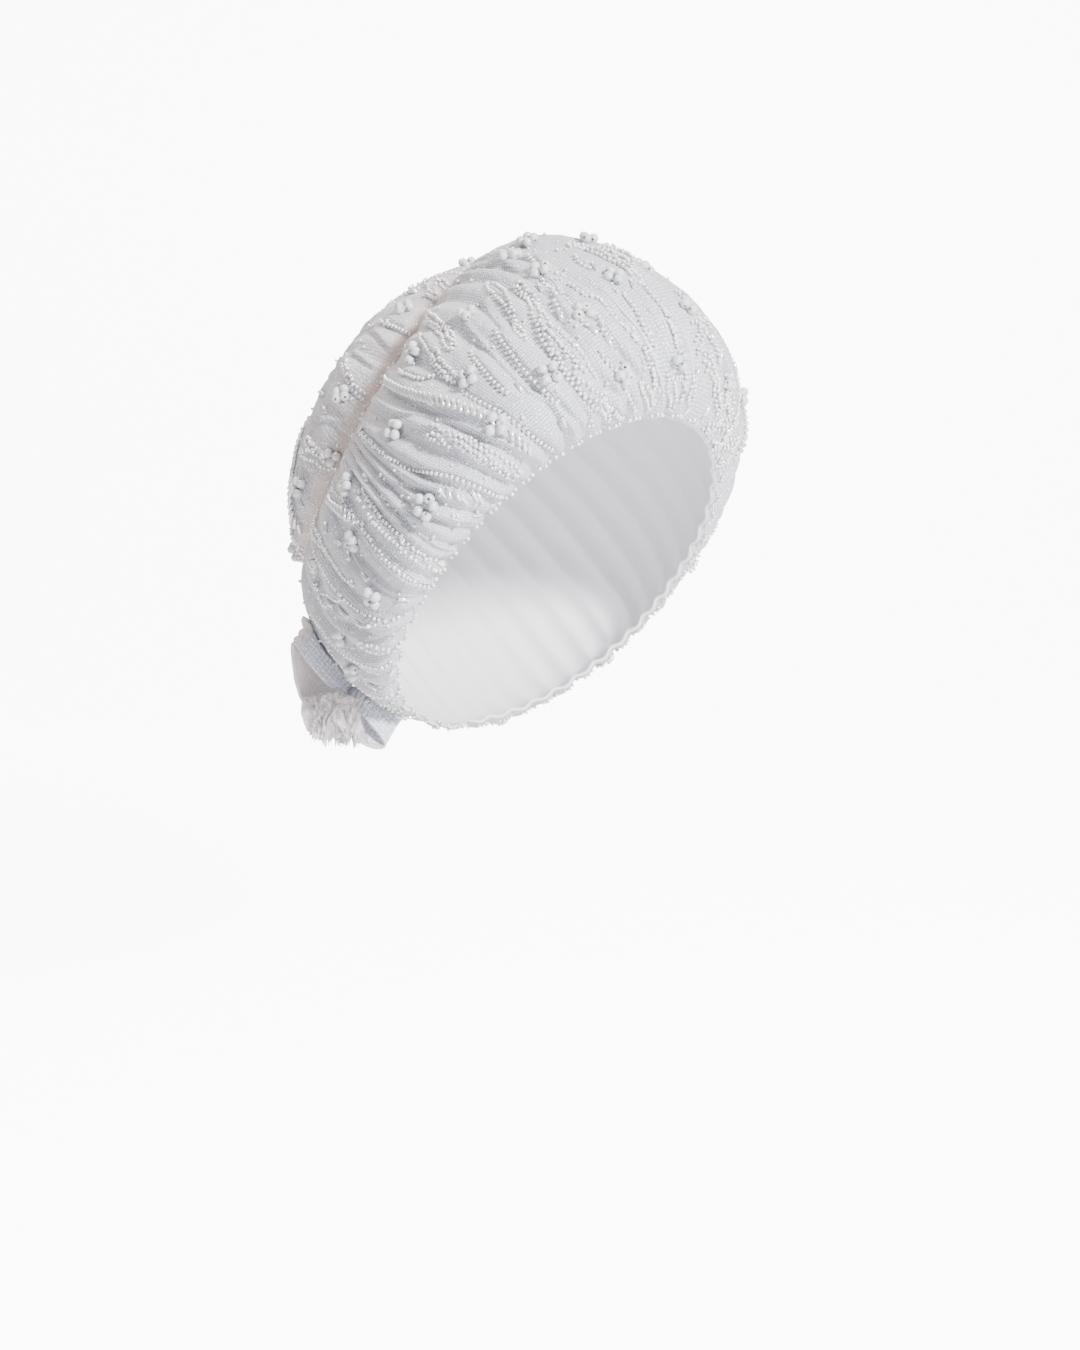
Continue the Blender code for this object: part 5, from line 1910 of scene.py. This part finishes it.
    def frays(self, shape: Shape, head: Array, lean: float) -> None:
        """Adds loose threads at a strip's end."""
        for _ in range(self.frays_each):
            away = lean + self.rng.uniform(-0.12, 0.12)
            length = self.tuft_length(away) + self.rng.uniform(-1.0, 2.0)
            line = self.strip_line(head, away, length, 30)
            line = line[22:] + np.cumsum(self.rng.uniform(-0.25, 0.25, (8, 3)), axis=0) * MM
            normal, radius = np.tile([0.0, 1.0, 0.0], (len(line), 1)), np.full(len(line), self.fray_radius)
            tube(shape, line, normal, radius, 4)


@dataclass
class Studio:
    """A pale floor with a backdrop, and soft lights."""

    floor_z: float = -0.317
    glow: float = 0.45
    seen_glow: float = 9.0
    sky: float = 0.28
    white: tuple[float, float, float, float] = (1.0, 1.0, 1.0, 1.0)
    pale: tuple[float, float, float, float] = (0.93, 0.93, 0.93, 1.0)
    half_wide: float = 3.5
    near_edge: float = -2.5
    bend_from: float = 1.2
    bend_radius: float = 0.8
    backdrop_high: float = 3.0

    def build(self) -> None:
        """Makes the floor, the backdrop and the lights."""
        self.floor()
        self.light("key_light", (0.85, -1.00, 0.80), 0.26, 74.0, (1.0, 1.0, 1.0))
        self.light("fill_light", (-0.25, -1.40, -0.50), 0.7, 27.0, (0.93, 0.96, 1.0))
        self.light("top_light", (-0.45, 0.25, 1.25), 0.7, 17.0, (1.0, 0.87, 0.78))
        world = bpy.data.worlds.new("studio")
        world.use_nodes = True
        background = world.node_tree.nodes["Background"]
        NodeTree(world.node_tree).feed(background, Color=self.white, Strength=self.sky)
        bpy.context.scene.world = world

    def floor(self) -> None:
        """A floor that curves up into a backdrop."""
        turns = np.radians(np.linspace(0, 90, 9))
        bend = [(self.bend_from + self.bend_radius * math.sin(t), self.bend_radius * (1 - math.cos(t)))
                for t in turns]
        line = [(self.near_edge, 0.0), *bend, (self.bend_from + self.bend_radius, self.backdrop_high)]
        points = [(x, y, z + self.floor_z) for y, z in line for x in (-self.half_wide, self.half_wide)]
        faces = [(2 * i, 2 * i + 1, 2 * i + 3, 2 * i + 2) for i in range(len(line) - 1)]
        mesh = bpy.data.meshes.new("floor")
        mesh.from_pydata(points, [], faces)
        mesh.shade_smooth()
        material, kit, shader = new_material("pale_floor")
        seen = kit.add("ShaderNodeLightPath").outputs["Is Camera Ray"]
        kit.feed(shader, Base_Color=self.pale, Roughness=0.9, Emission_Color=self.white,
                 Emission_Strength=kit.math("MULTIPLY_ADD", seen, self.seen_glow, self.glow))
        mesh.materials.append(material)
        item = bpy.data.objects.new("floor", mesh)
        bpy.context.collection.objects.link(item)

    def light(self, name: str, place: tuple[float, float, float], size: float, power: float,
              colour: Colour) -> None:
        """A soft square light that faces the cap."""
        data = bpy.data.lights.new(name, "AREA")
        data.shape = "SQUARE"
        data.size = size
        data.energy = power
        data.color = colour
        item = bpy.data.objects.new(name, data)
        item.location = place
        item.rotation_euler = (-Vector(place)).to_track_quat("-Z", "Y").to_euler()
        bpy.context.collection.objects.link(item)


def hidden_places(rng: np.random.Generator, across: Span, upward: Span, count: int) -> Array:
    """Random places on a cloth, each as u and up.

    Args:
        rng: Draws them.
        across: Limits of u.
        upward: Limits of up.
        count: How many.

    Returns:
        The places, count by 2.
    """
    return np.stack([rng.uniform(*across, count), rng.uniform(*upward, count)], axis=-1)


def main() -> None:
    """Builds and dresses the cap."""
    logging.basicConfig(level=logging.INFO, format="%(name)s %(message)s")
    rng = np.random.default_rng(SEED)
    camera = PhotoCamera()
    camera.make()
    Studio().build()
    finishes = Finishes()
    band = Band(finishes, camera, rng)
    band.build()
    tip = Tip(finishes, camera, rng)
    tip.build()
    for part in (band, tip):
        name = part.cloth.name
        work = BeadWork(part.cloth, part.tree, finishes, rng)
        work.seeds(part.cloth.rows[:part.shown], f"seed_beads_{name}_front")
        work.seeds(part.cloth.rows[part.shown:], f"seed_beads_{name}_back")
        work.ropes(part.cloth.rows, f"bugle_ropes_{name}")
        work.strewn(SINGLE_SEEDS[name], (0, part.cloth.pleats), f"seed_beads_{name}_single")
        work.cords(part.cloth.rows, f"satin_cords_{name}")
        if name == "band":
            found = (part.cloth.under(camera, pixel) for pixel in BUGLES_SHOWN)
            shown = np.array([place for place in found if place])
            hidden = hidden_places(rng, HIDDEN_PLEATS, (0.06, 0.92), HIDDEN_BUGLES_BAND)
            work.lone_bugles(np.concatenate([shown, hidden]), "bugle_beads_band")
        else:
            places = hidden_places(rng, (0, part.cloth.pleats), (0.1, 0.8), HIDDEN_BUGLES_TIP)
            work.lone_bugles(places, "bugle_beads_tip")
    PearlClusters(band, tip, finishes, rng).build()
    Bow(band, finishes, rng).build()


if __name__ == "__main__":
    main()
